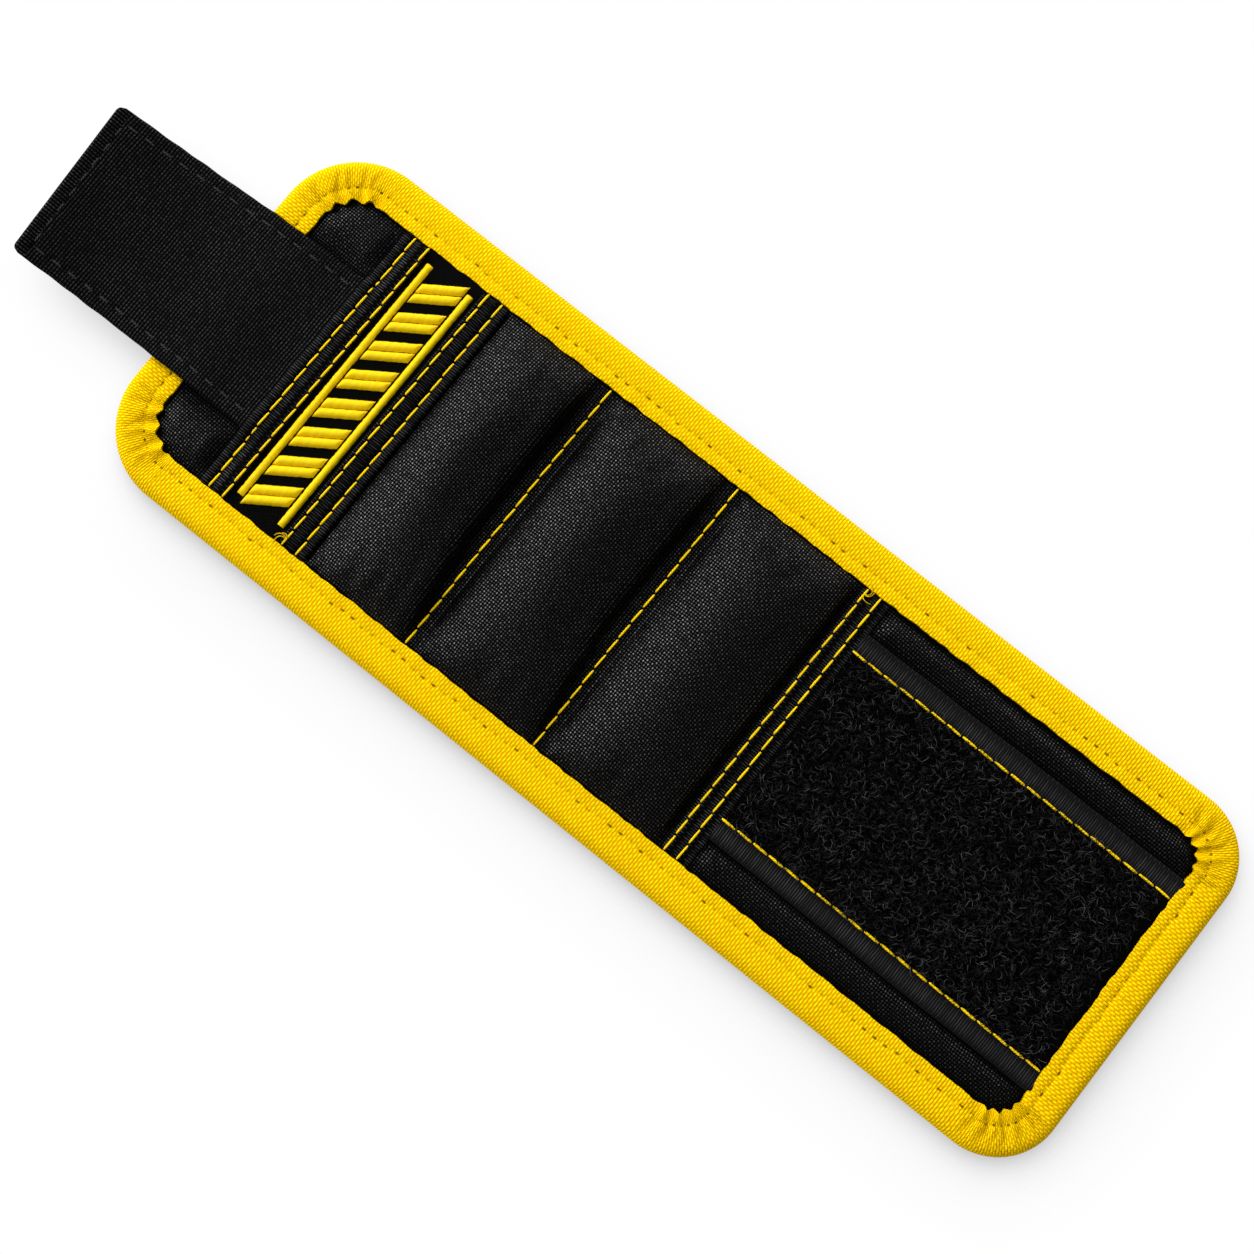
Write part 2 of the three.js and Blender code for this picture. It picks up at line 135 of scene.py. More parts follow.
class Signal:
    """A number in a node tree that can be reckoned with like a plain one."""

    def __init__(self, tree, socket):
        self.tree = tree
        self.socket = socket

    def math(self, operation, *others):
        """The result of a Math node on this signal and others."""
        node = self.tree.nodes.new("ShaderNodeMath")
        node.operation = operation
        for socket, value in zip(node.inputs, (self, *others)):
            plug(self.tree, value, socket)
        return Signal(self.tree, node.outputs[0])

    def __add__(self, other):
        return self.math("ADD", other)

    def __sub__(self, other):
        return self.math("SUBTRACT", other)

    def __mul__(self, other):
        return self.math("MULTIPLY", other)

    def __truediv__(self, other):
        return self.math("DIVIDE", other)

    def fract(self):
        return self.math("FRACT")

    def floor(self):
        return self.math("FLOOR")

    def cosine(self):
        return self.math("COSINE")

    def size(self):
        return self.math("ABSOLUTE")

    def stretch(self, low, high, to_low=0.0, to_high=1.0):
        """A smooth step: to_low at low, to_high at high, and level beyond them."""
        node = self.tree.nodes.new("ShaderNodeMapRange")
        node.interpolation_type = "SMOOTHSTEP"
        for name, value in zip(("Value", "From Min", "From Max", "To Min", "To Max"),
                               (self, low, high, to_low, to_high)):
            plug(self.tree, value, node.inputs[name])
        return Signal(self.tree, node.outputs["Result"])


def plug(tree, value, socket):
    """Links a signal to a socket, or sets the socket to a plain value."""
    if isinstance(value, Signal):
        tree.links.new(value.socket, socket)
    else:
        socket.default_value = value


def parts_of(tree, vector):
    """The three numbers of a vector."""
    node = tree.nodes.new("ShaderNodeSeparateXYZ")
    plug(tree, vector, node.inputs[0])
    return [Signal(tree, output) for output in node.outputs]


def grain(tree, vector, scale, detail=2.0):
    """Noise about 0.5 over a vector."""
    node = tree.nodes.new("ShaderNodeTexNoise")
    node.inputs["Scale"].default_value = scale
    node.inputs["Detail"].default_value = detail
    plug(tree, vector, node.inputs["Vector"])
    return Signal(tree, node.outputs["Fac"])


def cell_tone(tree, across, along):
    """A random tone from 0 to 1 for each whole step of two signals."""
    joined = tree.nodes.new("ShaderNodeCombineXYZ")
    plug(tree, across, joined.inputs[0])
    plug(tree, along, joined.inputs[1])
    node = tree.nodes.new("ShaderNodeTexWhiteNoise")
    node.noise_dimensions = "2D"
    tree.links.new(joined.outputs[0], node.inputs["Vector"])
    return Signal(tree, node.outputs["Value"])


def effect_group(name, values, outputs, make):
    """A shader node group on the cloth's own lie, with float inputs and float outputs."""
    group = bpy.data.node_groups.new(name, "ShaderNodeTree")
    group.interface.new_socket("Lay", in_out="INPUT", socket_type="NodeSocketVector")
    for value in values:
        group.interface.new_socket(value, in_out="INPUT", socket_type="NodeSocketFloat")
    for output in outputs:
        group.interface.new_socket(output, in_out="OUTPUT", socket_type="NodeSocketFloat")
    entry = group.nodes.new("NodeGroupInput")
    given = [Signal(group, socket) for socket in entry.outputs[:1 + len(values)]]
    results = make(group, *given)
    leave = group.nodes.new("NodeGroupOutput")
    for socket, result in zip(leave.inputs, results):
        plug(group, result, socket)
    return group


def plain_weave(tree, lay, pitch, wander):
    """Over and under yarns: their height, a tone for each crossing, and the yarns' lie."""
    along, across, _ = parts_of(tree, lay)
    drift = grain(tree, lay, scale=140) - 0.5
    sway = grain(tree, lay, scale=90) - 0.5
    step_u = (along + drift * wander) / pitch
    step_v = (across + sway * wander) / pitch
    arc_u = ((step_u.fract() - 0.5) * math.pi).cosine()
    arc_v = ((step_v.fract() - 0.5) * math.pi).cosine()
    odd = ((step_u.floor() + step_v.floor()) * 0.5).fract() * 2
    warp = arc_u * (arc_v * 0.5 + 0.5)
    weft = arc_v * (arc_u * 0.5 + 0.5)
    height = warp + (weft - warp) * odd
    return height, cell_tone(tree, step_u.floor(), step_v.floor()), odd


def rib_weave(tree, lay, pitch, dash, stagger, bead):
    """Ribs across a tape, each wound with yarn in dashes: height and a tone for each dash."""
    along, across, _ = parts_of(tree, lay)
    drift = grain(tree, lay, scale=160) - 0.5
    step_u = along / pitch + drift * 0.7
    odd = (step_u.floor() * 0.5).fract()
    step_v = across / dash + odd * stagger
    arc_u = ((step_u.fract() - 0.5) * math.pi).cosine()
    arc_v = ((step_v.fract() - 0.5) * math.pi).cosine()
    height = arc_u.math("SQRT") * (arc_v * bead - bead + 1)
    return height, cell_tone(tree, step_u.floor(), step_v.floor())


HOLE_STRAY = 0.0006
HOLE_LENGTH = (0.0007, 0.00025)
HOLE_WIDTH = (0.0003, 0.00008)
SUNK_LINE_WIDTH = 0.0009


def needle_row(tree, lay, inset, pitch):
    """A row of needle holes at a distance from a tape's edge: 1 in a hole, and its sunk line."""
    along, across, _ = parts_of(tree, lay)
    step = along / pitch
    jitter = (cell_tone(tree, step.floor(), inset) - 0.5) * HOLE_STRAY
    beside = (across - inset + jitter).size()
    near = ((step.fract() - 0.5) * pitch).size()
    # Each hole's depth: how far it sinks in the bump and how much painted shade it takes.
    depth = cell_tone(tree, step.floor(), inset + 7).stretch(0.1, 0.9, 0.25, 1.0)
    hole = near.stretch(*HOLE_LENGTH) * beside.stretch(*HOLE_WIDTH) * depth
    line = beside.stretch(SUNK_LINE_WIDTH, 0.0)
    return hole, line


def thread_twist(tree, lay, pitch):
    """The lay of a twisted thread: height of its plies."""
    along, around, _ = parts_of(tree, lay)
    turn = ((along / pitch + around) * (2 * math.pi)).cosine()
    return (turn * 0.5 + 0.5,)


def satin_fill(tree, lay, pitch):
    """Threads laid side by side over a filled bar: their height and a tone for each thread."""
    along, _, _ = parts_of(tree, lay)
    drift = grain(tree, lay, scale=300) - 0.5
    step = along / pitch + drift * 0.5
    arc = ((step.fract() - 0.5) * math.pi).cosine()
    return arc.math("SQRT"), cell_tone(tree, step.floor(), 0.5)


WEAVE = effect_group("plain_weave", ["Pitch", "Wander"], ["Height", "Tone", "Weft"], plain_weave)
RIB = effect_group("rib_weave", ["Pitch", "Dash", "Stagger", "Bead"], ["Height", "Tone"], rib_weave)
NEEDLE_ROW = effect_group("needle_row", ["Inset", "Pitch"], ["Hole", "Line"], needle_row)
TWIST = effect_group("thread_twist", ["Pitch"], ["Height"], thread_twist)
SATIN = effect_group("satin_fill", ["Pitch"], ["Height", "Tone"], satin_fill)


BLACK_DEEP = (0.0003, 0.0003, 0.0003)
GOLD_LIGHT = (1.0, 0.75, 0.003)
SATIN_DARK = (0.90, 0.53, 0.001)
KNIT_DARK = (0.004, 0.004, 0.0045)
KNIT_LIGHT = (0.03, 0.03, 0.032)
NICKEL_DARK = (0.5, 0.49, 0.47)
NICKEL_LIGHT = (0.72, 0.71, 0.69)
RIB_STAGGER = 0.3
THREAD_TWIST = 0.0007
SATIN_PITCH = 0.0004
KNIT_SCALE = 420


class Finish:
    """A material under work: the cloth's lie, effects placed on it, and what they feed."""

    def __init__(self, name, roughness, specular, metallic=0.0):
        self.material = bpy.data.materials.new(name)
        self.material.use_nodes = True
        self.tree = self.material.node_tree
        self.shader = self.tree.nodes["Principled BSDF"]
        self.shader.inputs["Roughness"].default_value = roughness
        self.shader.inputs["Specular IOR Level"].default_value = specular
        self.shader.inputs["Metallic"].default_value = metallic
        attribute = self.tree.nodes.new("ShaderNodeAttribute")
        attribute.attribute_name = "lay"
        self.lay = Signal(self.tree, attribute.outputs["Vector"])

    def effect(self, group, *values):
        """The outputs of an effect group placed on the cloth's lie."""
        node = self.tree.nodes.new("ShaderNodeGroup")
        node.node_tree = group
        for socket, value in zip(node.inputs, (self.lay, *values)):
            plug(self.tree, value, socket)
        return [Signal(self.tree, output) for output in node.outputs]

    def between(self, share, first, second):
        """A colour that goes from the first to the second with a signal."""
        node = self.tree.nodes.new("ShaderNodeMix")
        node.data_type = "RGBA"
        plug(self.tree, share, node.inputs[0])
        for socket, colour in zip(node.inputs[6:8], (first, second)):
            plug(self.tree, colour if isinstance(colour, Signal) else (*colour, 1), socket)
        return Signal(self.tree, node.outputs[2])

    def colour(self, signal):
        """Feeds the base colour."""
        plug(self.tree, signal, self.shader.inputs["Base Color"])

    def roughness(self, signal):
        """Feeds the roughness."""
        plug(self.tree, signal, self.shader.inputs["Roughness"])

    def glaze(self, signal, roughness, index=1.5):
        """A thin gloss over the yarns, as strong as the signal."""
        plug(self.tree, signal, self.shader.inputs["Coat Weight"])
        self.shader.inputs["Coat Roughness"].default_value = roughness
        self.shader.inputs["Coat IOR"].default_value = index

    def relief(self, height, depth):
        """Bumps of the given depth, in metres."""
        node = self.tree.nodes.new("ShaderNodeBump")
        node.inputs["Distance"].default_value = depth
        plug(self.tree, height, node.inputs["Height"])
        self.tree.links.new(node.outputs[0], self.shader.inputs["Normal"])


YARN_WANDER = 0.0006
# How far the painted valley shade looks for nearby cloth
PAINTED_SHADE_REACH = 14 * MM


def woven_nylon(name, light, pitch, relief, gloss):
    """Black nylon cloth in over and under yarns, with painted highlights on their crowns, painted shade
    between them and painted shade in its valleys.
    """
    finish = Finish(name, roughness=0.7, specular=0.04)
    height, tone, weft = finish.effect(WEAVE, pitch, YARN_WANDER)
    worn = grain(finish.tree, finish.lay, scale=45, detail=4.0).stretch(0.35, 0.75)
    # Painted shade: ambient occlusion darkens the yarns' colour and gloss in valleys and recesses.
    valley_shade_ao = finish.tree.nodes.new("ShaderNodeAmbientOcclusion")
    valley_shade_ao.samples = 8
    valley_shade_ao.inputs["Distance"].default_value = PAINTED_SHADE_REACH
    painted_valley_shade = Signal(finish.tree, valley_shade_ao.outputs["AO"]).stretch(0.72, 0.97, 0.1, 1.0)
    # Painted highlight and shade: yarn crowns take the lighter colour and the gloss, and the gaps between
    # yarns stay black.
    crown = height.stretch(0.6, 0.97) * (weft * -0.5 + 1) * painted_valley_shade
    painted_highlight = crown * (tone * 0.7 + 0.3)
    finish.colour(finish.between(painted_highlight * (worn * 0.5 + 0.6), BLACK_DEEP, light))
    finish.roughness(tone * 0.2 + 0.65 - weft * 0.05)
    finish.glaze(painted_highlight * gloss, roughness=0.36, index=2.4)
    finish.relief(height + tone * 0.25, relief)
    return finish.material


def ribbed_tape(name, light, pitch, dash, bead, relief, gloss, dark=BLACK_DEEP, turned=False):
    """Grosgrain: ribs across the tape, wound with yarn, or along it where the tape is turned, with painted
    highlights on the rib crowns and painted shade between them.
    """
    finish = Finish(name, roughness=0.7, specular=0.04)
    if turned:
        along, across, _ = parts_of(finish.tree, finish.lay)
        joined = finish.tree.nodes.new("ShaderNodeCombineXYZ")
        plug(finish.tree, across, joined.inputs[0])
        plug(finish.tree, along, joined.inputs[1])
        finish.lay = Signal(finish.tree, joined.outputs[0])
    height, tone = finish.effect(RIB, pitch, dash, RIB_STAGGER, bead)
    worn = grain(finish.tree, finish.lay, scale=60, detail=4.0).stretch(0.3, 0.8)
    # Painted highlight and shade: colour and gloss follow the rib crowns, and the gaps between ribs take
    # the dark colour.
    painted_highlight = height.stretch(0.82, 1.0) * (tone * 0.7 + 0.3)
    finish.colour(finish.between(painted_highlight * (worn * 0.5 + 0.6), dark, light))
    finish.roughness(tone * 0.2 + 0.62)
    finish.glaze(painted_highlight * gloss, roughness=0.45)
    finish.relief(height + tone * 0.3, relief)
    return finish.material


BINDING_RIB = {"pitch": 0.00068, "dash": 0.0015, "stagger": 1.0, "bead": 0.6}
# Rib gap colour, darker as painted shade, and rib crown colour
BINDING_DARK = (0.95, 0.46, 0.0002)
BINDING_LIGHT = (1.0, 0.8, 0.002)
# A warmer, darker orange painted where the tape turns away from the camera: painted shade
BINDING_GRAZING_SHADE = (1.0, 0.64, 0.0002)
BINDING_SOILED = (0.90, 0.48, 0.0008)
# Dark brown of the painted shade in the corner creases
BINDING_CREASE_SHADE = (0.40, 0.19, 0.001)
# Dark brown of the painted shade inside the needle holes
BINDING_HOLE_SHADE = (0.26, 0.12, 0.002)


def binding_tape():
    """Golden ribbed tape with a sewn row near its inner edge, and painted shade in its rib gaps, corner
    creases, needle holes and where it turns away.
    """
    finish = Finish("binding_tape", roughness=0.6, specular=0.01)
    height, tone = finish.effect(RIB, *BINDING_RIB.values())
    hole, line = finish.effect(NEEDLE_ROW, BINDING_STITCH_INSET, BINDING_STITCH_PITCH)
    soiled = grain(finish.tree, finish.lay, scale=70, detail=4.0).stretch(0.5, 0.85)
    _, _, crease_shade = parts_of(finish.tree, finish.lay)
    # Painted shade: the rib gaps take the darker colour and the crowns the lighter one.
    yarn = height.stretch(0.45, 0.98) * 0.85 + tone * 0.15
    woven = finish.between(yarn, BINDING_DARK, BINDING_LIGHT)
    # Painted shade: a warmer, darker orange where the tape turns away from the camera.
    facing = finish.tree.nodes.new("ShaderNodeLayerWeight")
    aside = Signal(finish.tree, facing.outputs["Facing"]).stretch(0.25, 0.9)
    turned = finish.between(aside * 0.4, woven, BINDING_GRAZING_SHADE)
    dulled = finish.between(soiled * 0.3, turned, BINDING_SOILED)
    # Painted shade in the corner creases.
    folded = finish.between(crease_shade, dulled, BINDING_CREASE_SHADE)
    # Needle holes: sunk in the bump and painted dark inside as painted shade.
    finish.colour(finish.between(hole, folded, BINDING_HOLE_SHADE))
    finish.roughness(tone * 0.2 + 0.5)
    finish.relief(height * 1.2 + tone * 0.4 - hole * 1.5 - line * 0.5, 0.0002)
    return finish.material


def sewing_thread(name, dark, light):
    """Twisted thread, with painted shade in the grooves between its plies."""
    finish = Finish(name, roughness=0.5, specular=0.1)
    (ply,) = finish.effect(TWIST, THREAD_TWIST)
    # Painted shade: the grooves between plies take the dark colour.
    finish.colour(finish.between(ply, dark, light))
    finish.relief(ply, 0.00006)
    return finish.material


def satin_embroidery():
    """Shiny thread laid side by side across raised bars, with painted shade between the threads."""
    finish = Finish("satin_embroidery", roughness=0.4, specular=0.06)
    height, tone = finish.effect(SATIN, SATIN_PITCH)
    # Painted shade: the grooves between threads take the dark colour.
    finish.colour(finish.between(height * 0.7 + tone * 0.3, SATIN_DARK, GOLD_LIGHT))
    finish.roughness(tone * 0.2 + 0.32)
    finish.glaze(height * (tone * 0.2 + 0.1), roughness=0.4)
    finish.relief(height + tone * 0.4, 0.00008)
    return finish.material


def brushed_fibre(name, dark, light, roughness):
    """Nylon fibre of a pile, lighter from curl to curl by each fibre's tone, which on the loop pile is
    painted glints.
    """
    finish = Finish(name, roughness, specular=0.15)
    along, tone, _ = parts_of(finish.tree, finish.lay)
    finish.colour(finish.between(tone * (along * 0.3 + 0.7), dark, light))
    finish.roughness(tone * 0.15 + (roughness - 0.05))
    return finish.material


def knit_lining():
    """Soft black knit of the wrist side, with a honeycomb of small openings painted darker as painted
    shade.
    """
    finish = Finish("knit_lining", roughness=0.8, specular=0.1)
    node = finish.tree.nodes.new("ShaderNodeTexVoronoi")
    node.feature = "DISTANCE_TO_EDGE"
    node.inputs["Scale"].default_value = KNIT_SCALE
    node.inputs["Randomness"].default_value = 0.25
    plug(finish.tree, finish.lay, node.inputs["Vector"])
    wall = Signal(finish.tree, node.outputs["Distance"]).stretch(0.3, 0.05)
    fuzz = grain(finish.tree, finish.lay, scale=2600, detail=3.0)
    # Painted shade: the openings take the dark colour and the walls between them the light one.
    finish.colour(finish.between(wall * 0.7 + fuzz * 0.3, KNIT_DARK, KNIT_LIGHT))
    finish.roughness(fuzz * 0.2 + 0.7)
    finish.relief(wall + fuzz * 0.4, 0.00035)
    return finish.material


def nickel_plate():
    """Plated magnet: bright, with fine scuffs."""
    finish = Finish("nickel_plate", roughness=0.25, specular=0.5, metallic=1.0)
    coordinates = finish.tree.nodes.new("ShaderNodeTexCoord")
    place = Signal(finish.tree, coordinates.outputs["Object"])
    scuff = grain(finish.tree, place, scale=700, detail=6.0)
    finish.colour(finish.between(scuff, NICKEL_DARK, NICKEL_LIGHT))
    finish.roughness(scuff * 0.3 + 0.15)
    finish.relief(scuff, 0.00002)
    return finish.material


SHELL_CLOTH = woven_nylon("shell_cloth", (0.008, 0.008, 0.0085), pitch=0.00066, relief=0.00024, gloss=1.0)
# The channel covers use the shell's cloth painted lighter: painted light standing in for the light on the
# puffs.
COVER_CLOTH_PAINTED_LIGHTER = woven_nylon("channel_cloth_painted_lighter", (0.014, 0.014, 0.0148), pitch=0.00066, relief=0.00024, gloss=1.0)
LABEL_CLOTH = woven_nylon("label_cloth", (0.005, 0.005, 0.0054), pitch=0.0005, relief=0.0001, gloss=0.08)
# The tape's ground under the pile is painted near black: painted shade of the pile over it.
SHADED_PILE_GROUND = woven_nylon("pile_ground_painted_shade", (0.001, 0.001, 0.0011), pitch=0.0006, relief=0.0002, gloss=0.0)
SEAM_TAPE = ribbed_tape(
    "seam_tape_rib", (0.05, 0.05, 0.053), pitch=0.00058, dash=0.003, bead=0.2, relief=0.00016, gloss=0.5)
SELVAGE = ribbed_tape(
    "loop_selvage", (0.055, 0.055, 0.058), pitch=0.00058, dash=0.0045, bead=0.15, relief=0.00016, gloss=0.2,
    dark=(0.006, 0.006, 0.0065))
WEBBING, WEBBING_HEM = [
    ribbed_tape(
        name, (0.032, 0.032, 0.034), pitch=0.00074, dash=0.00085, bead=0.14, relief=0.00026, gloss=0.7,
        turned=turned)
    for name, turned in (("strap_webbing", False), ("strap_hem", True))
]
BINDING = binding_tape()
LINING = knit_lining()
# Lighter curls of the pile carry painted glints; the rest stay near black.
PILE = brushed_fibre("loop_pile_fibre", (0.0004, 0.0004, 0.0004), (0.1, 0.1, 0.106), roughness=0.4)
HOOKS = brushed_fibre("hook_fibre", (0.006, 0.006, 0.0065), (0.02, 0.02, 0.021), roughness=0.45)
GOLD_THREAD = sewing_thread("gold_thread", (1.0, 0.57, 0.0008), GOLD_LIGHT)
BLACK_THREAD = sewing_thread("black_thread", (0.008, 0.008, 0.0085), (0.045, 0.045, 0.048))
EMBROIDERY = satin_embroidery()
NICKEL = nickel_plate()


# Making pieces


def cloth_grid(columns, rows, place):
    """A grid laid out by place(share along, share across), which gives each point and its cloth lie."""
    bm = bmesh.new()
    lay = bm.verts.layers.float_vector.new("lay")
    bmesh.ops.create_grid(bm, x_segments=columns, y_segments=rows, size=1)
    for vert in bm.verts:
        point, lie = place((vert.co.x + 1) / 2, (vert.co.y + 1) / 2)
        vert.co = point
        vert[lay] = lie
    return bm


def add_back(bm, back_at):
    """Closes a grid into a slab: a copy of it goes to back_at(point), joined on round the edge."""
    made = bmesh.ops.extrude_face_region(bm, geom=list(bm.faces))
    back = {item for item in made["geom"] if isinstance(item, bmesh.types.BMVert)}
    for vert in back:
        vert.co = back_at(vert.co)
    for face in bm.faces:
        if all(vert in back for vert in face.verts):
            face.material_index = 1
    bmesh.ops.recalc_face_normals(bm, faces=list(bm.faces))


def finished(name, bm, *materials):
    """The object of a finished bmesh, smooth apart from its sharp edges."""
    for face in bm.faces:
        face.smooth = True
    for edge in bm.edges:
        edge.smooth = edge.calc_face_angle(0) < SHARP_EDGE
    mesh = bpy.data.meshes.new(name)
    bm.to_mesh(mesh)
    bm.free()
    for material in materials:
        mesh.materials.append(material)
    piece = bpy.data.objects.new(name, mesh)
    bpy.context.scene.collection.objects.link(piece)
    return piece


def bend_at(piece):
    """Bakes a piece's placement into its mesh."""
    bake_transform(piece)


# The padded band


def layer_half(x):
    """Half the width of the band's layers inside the binding."""
    half = HALF_WIDTH - BODY_INSET
    for end, corner in ((BAND_START + BODY_INSET, STRAP_END_R), (BAND_END - BODY_INSET, TAIL_END_R)):
        radius = corner - BODY_INSET
        inside = abs(x - end)
        if inside < radius:
            return half - radius + math.sqrt(radius ** 2 - (radius - inside) ** 2)
    return half


def inside_binding(x, y):
    """How far a point lies inside the binding's inner edge, whose corners are round."""
    for end, side, radius in ((BAND_START, 1, STRAP_END_R), (BAND_END, -1, TAIL_END_R)):
        beyond_x = radius - side * (x - end)
        beyond_y = abs(y) - HALF_WIDTH + radius
        if beyond_x > 0 and beyond_y > 0:
            return radius - BINDING_LEG - math.hypot(beyond_x, beyond_y)
    return min(
        HALF_WIDTH - BINDING_LEG - abs(y),
        x - BAND_START - BINDING_LEG,
        BAND_END - BINDING_LEG - x,
    )


SHELL_SWELL = 1.5 * MM
SHELL_RIPPLE = 0.07 * MM
STRAP_BED_HALF = 23.5 * MM
LOOP_BESIDE = 1 * MM


def shell_level(x, y):
    """The shell's face: it swells a little where nothing is sewn over it."""
    free_from = STRAP_BED_HALF if x < 0 else LOOP_HIGH.y + LOOP_BESIDE
    free_to = HALF_WIDTH - BINDING_LEG
    if x > FOLD_X[3] or x < TAPE_LOW["strap"].x:
        share = min(max((abs(y) - free_from) / (free_to - free_from), 0.0), 1.0)
        swell = SHELL_SWELL * (1 - (2 * share ** 0.8 - 1) ** 2) * (1 + 0.4 * wobble(x, y, 14 * MM))
        from_tape = x - TAPE_HIGH["tail"].x if x > 0 else TAPE_LOW["strap"].x - x
        swell *= ease(from_tape / (3.5 * MM)) * ease(inside_binding(x, y) / (4 * MM))
    else:
        swell = 0.0
    return SHELL_TOP + swell + SHELL_RIPPLE * wobble(x, y, 5 * MM)


LINING_ON_LEG = 1.05 * MM
LINING_DROP = 0.9 * MM


def lining_level(x, y):
    """The lining's face: on the binding's lower leg at the edge, and down almost level with it inside."""
    return LINING_ON_LEG - LINING_DROP * ease(inside_binding(x, y) / (1.5 * MM))


BODY_STEP = 1.2 * MM
BODY_ROWS = 64


def band_body(name, start, end):
    """A stretch of the band's sandwich: shell on top, lining below, foam between."""
    def place(along, across):
        x = start + (end - start) * along
        y = (2 * across - 1) * layer_half(x)
        return Vector((x, y, shell_level(x, y))), (x, y, 0)

    columns = max(8, round((end - start) / BODY_STEP))
    bm = cloth_grid(columns, BODY_ROWS, place)
    add_back(bm, lambda point: Vector((point.x, point.y, lining_level(point.x, point.y))))
    piece = finished(name, bm, SHELL_CLOTH, LINING)
    return piece


# The binding


LEG_STEPS = 12
FOLD_STEPS = 12


def binding_ring():
    """The folded tape's closed section: inset from the edge, height, and place across the tape."""
    top = BINDING_TOP
    low = 0.0
    radius = BINDING_FOLD_R
    flat = BINDING_LEG - radius
    ring = []
    for i in range(LEG_STEPS):
        across = flat * i / LEG_STEPS
        ring.append((BINDING_LEG - across, top, across))
    for i in range(FOLD_STEPS + 1):
        turn = math.pi * i / FOLD_STEPS
        inset = radius - radius * math.sin(turn)
        ring.append((inset, top / 2 + top / 2 * math.cos(turn), flat + radius * turn))
    for i in range(1, LEG_STEPS + 1):
        across = flat + math.pi * radius + flat * i / LEG_STEPS
        ring.append((radius + flat * i / LEG_STEPS, low, across))
    inner = top / 2 - BINDING_TAPE_T
    width = ring[-1][2]
    for i in range(3):
        ring.append((BINDING_LEG - flat * i / 3, low + BINDING_TAPE_T, width))
    for i in range(5):
        turn = math.pi * (1 - i / 4)
        ring.append((radius - inner * math.sin(turn), top / 2 + inner * math.cos(turn), width))
    for i in (2, 1, 0):
        ring.append((BINDING_LEG - flat * i / 3, top - BINDING_TAPE_T, width))
    return ring


PLEAT_PITCH = 7.6 * MM
PLEAT_RISE = (0.07 * MM, 0.45 * MM)
SCALLOP_DEPTH = (0.07 * MM, 0.30 * MM)
EDGE_FRAY = 0.2 * MM
LEG_SWAY = 0.16 * MM
# Where the painted shade of the corner creases lies across the tape
CREASE_SHADE_INSET = 4.2 * MM
CREASE_SHADE_HALF = 3.6 * MM
ROW_SUNK = 0.2 * MM
LIP_SUNK = 0.16 * MM
UNDERSIDE_LIFT = (-0.05 * MM, 0.1 * MM)


def binding_run(name, count, edge_at):
    """The tape run along edge_at(share): the edge's point, outward way, place along, and corner share."""
    ring = binding_ring()
    width = ring[-1][2]

    def place(round_share, along):
        inset, height, across = ring[round(round_share * len(ring)) % len(ring)]
        edge, outward, path, corner = edge_at(along)
        leg = 1 if height > BINDING_TOP / 2 else -1
        near = min(across, width - across) if across < width else BINDING_LEG - inset
        pull = max(0.0, 1 - near / (BINDING_LEG * 0.75))
        phase = 2 * math.pi * path / PLEAT_PITCH + 4 * wobble(path, leg * 40 * MM, 22 * MM)
        loose = 1 + 0.8 * wobble(path, leg * 60 * MM, 9 * MM)
        rise, depth = [plain + more * corner for plain, more in (PLEAT_RISE, SCALLOP_DEPTH)]
        gather = rise * loose * math.sin(phase) * pull ** 1.3
        scallop = depth * loose * math.cos(phase + 0.6) * max(0.0, 1 - near / (3 * MM))
        scallop += EDGE_FRAY * wobble(path, leg * 15 * MM, 1.7 * MM) * max(0.0, 1 - near / (1.5 * MM))
        # Painted shade in the corner pleats' creases, carried in the lay to darken the tape's colour.
        folded = corner * max(0.0, math.sin(1.7 * phase + 5 * wobble(path, across, 5 * MM)) - 0.45)
        crease_shade = folded * max(0.0, 1 - abs(near - CREASE_SHADE_INSET) / CREASE_SHADE_HALF) * loose
        sway = LEG_SWAY * wobble(path, leg * 20 * MM, 9 * MM) * pull
        sunk = ROW_SUNK * math.exp(-((near - BINDING_STITCH_INSET) / (0.8 * MM)) ** 2)
        lip = LIP_SUNK * max(0.0, 1 - near / (1.2 * MM))
        lift = gather + sway - (sunk + lip if across < width else 0)
        if leg < 0:
            lift = min(max(lift, UNDERSIDE_LIFT[0]), UNDERSIDE_LIFT[1]) * 0.4
        point = edge - outward * (inset + scallop) + UP * (height + leg * lift)
        return point, (path, across, crease_shade)

    bm = cloth_grid(len(ring), count, place)
    bmesh.ops.remove_doubles(bm, verts=list(bm.verts), dist=1e-7)
    bmesh.ops.holes_fill(bm, edges=[edge for edge in bm.edges if edge.is_boundary], sides=0)
    bmesh.ops.recalc_face_normals(bm, faces=list(bm.faces))
    piece = finished(name, bm, BINDING)
    return piece


PLEATS_REACH = 9 * MM


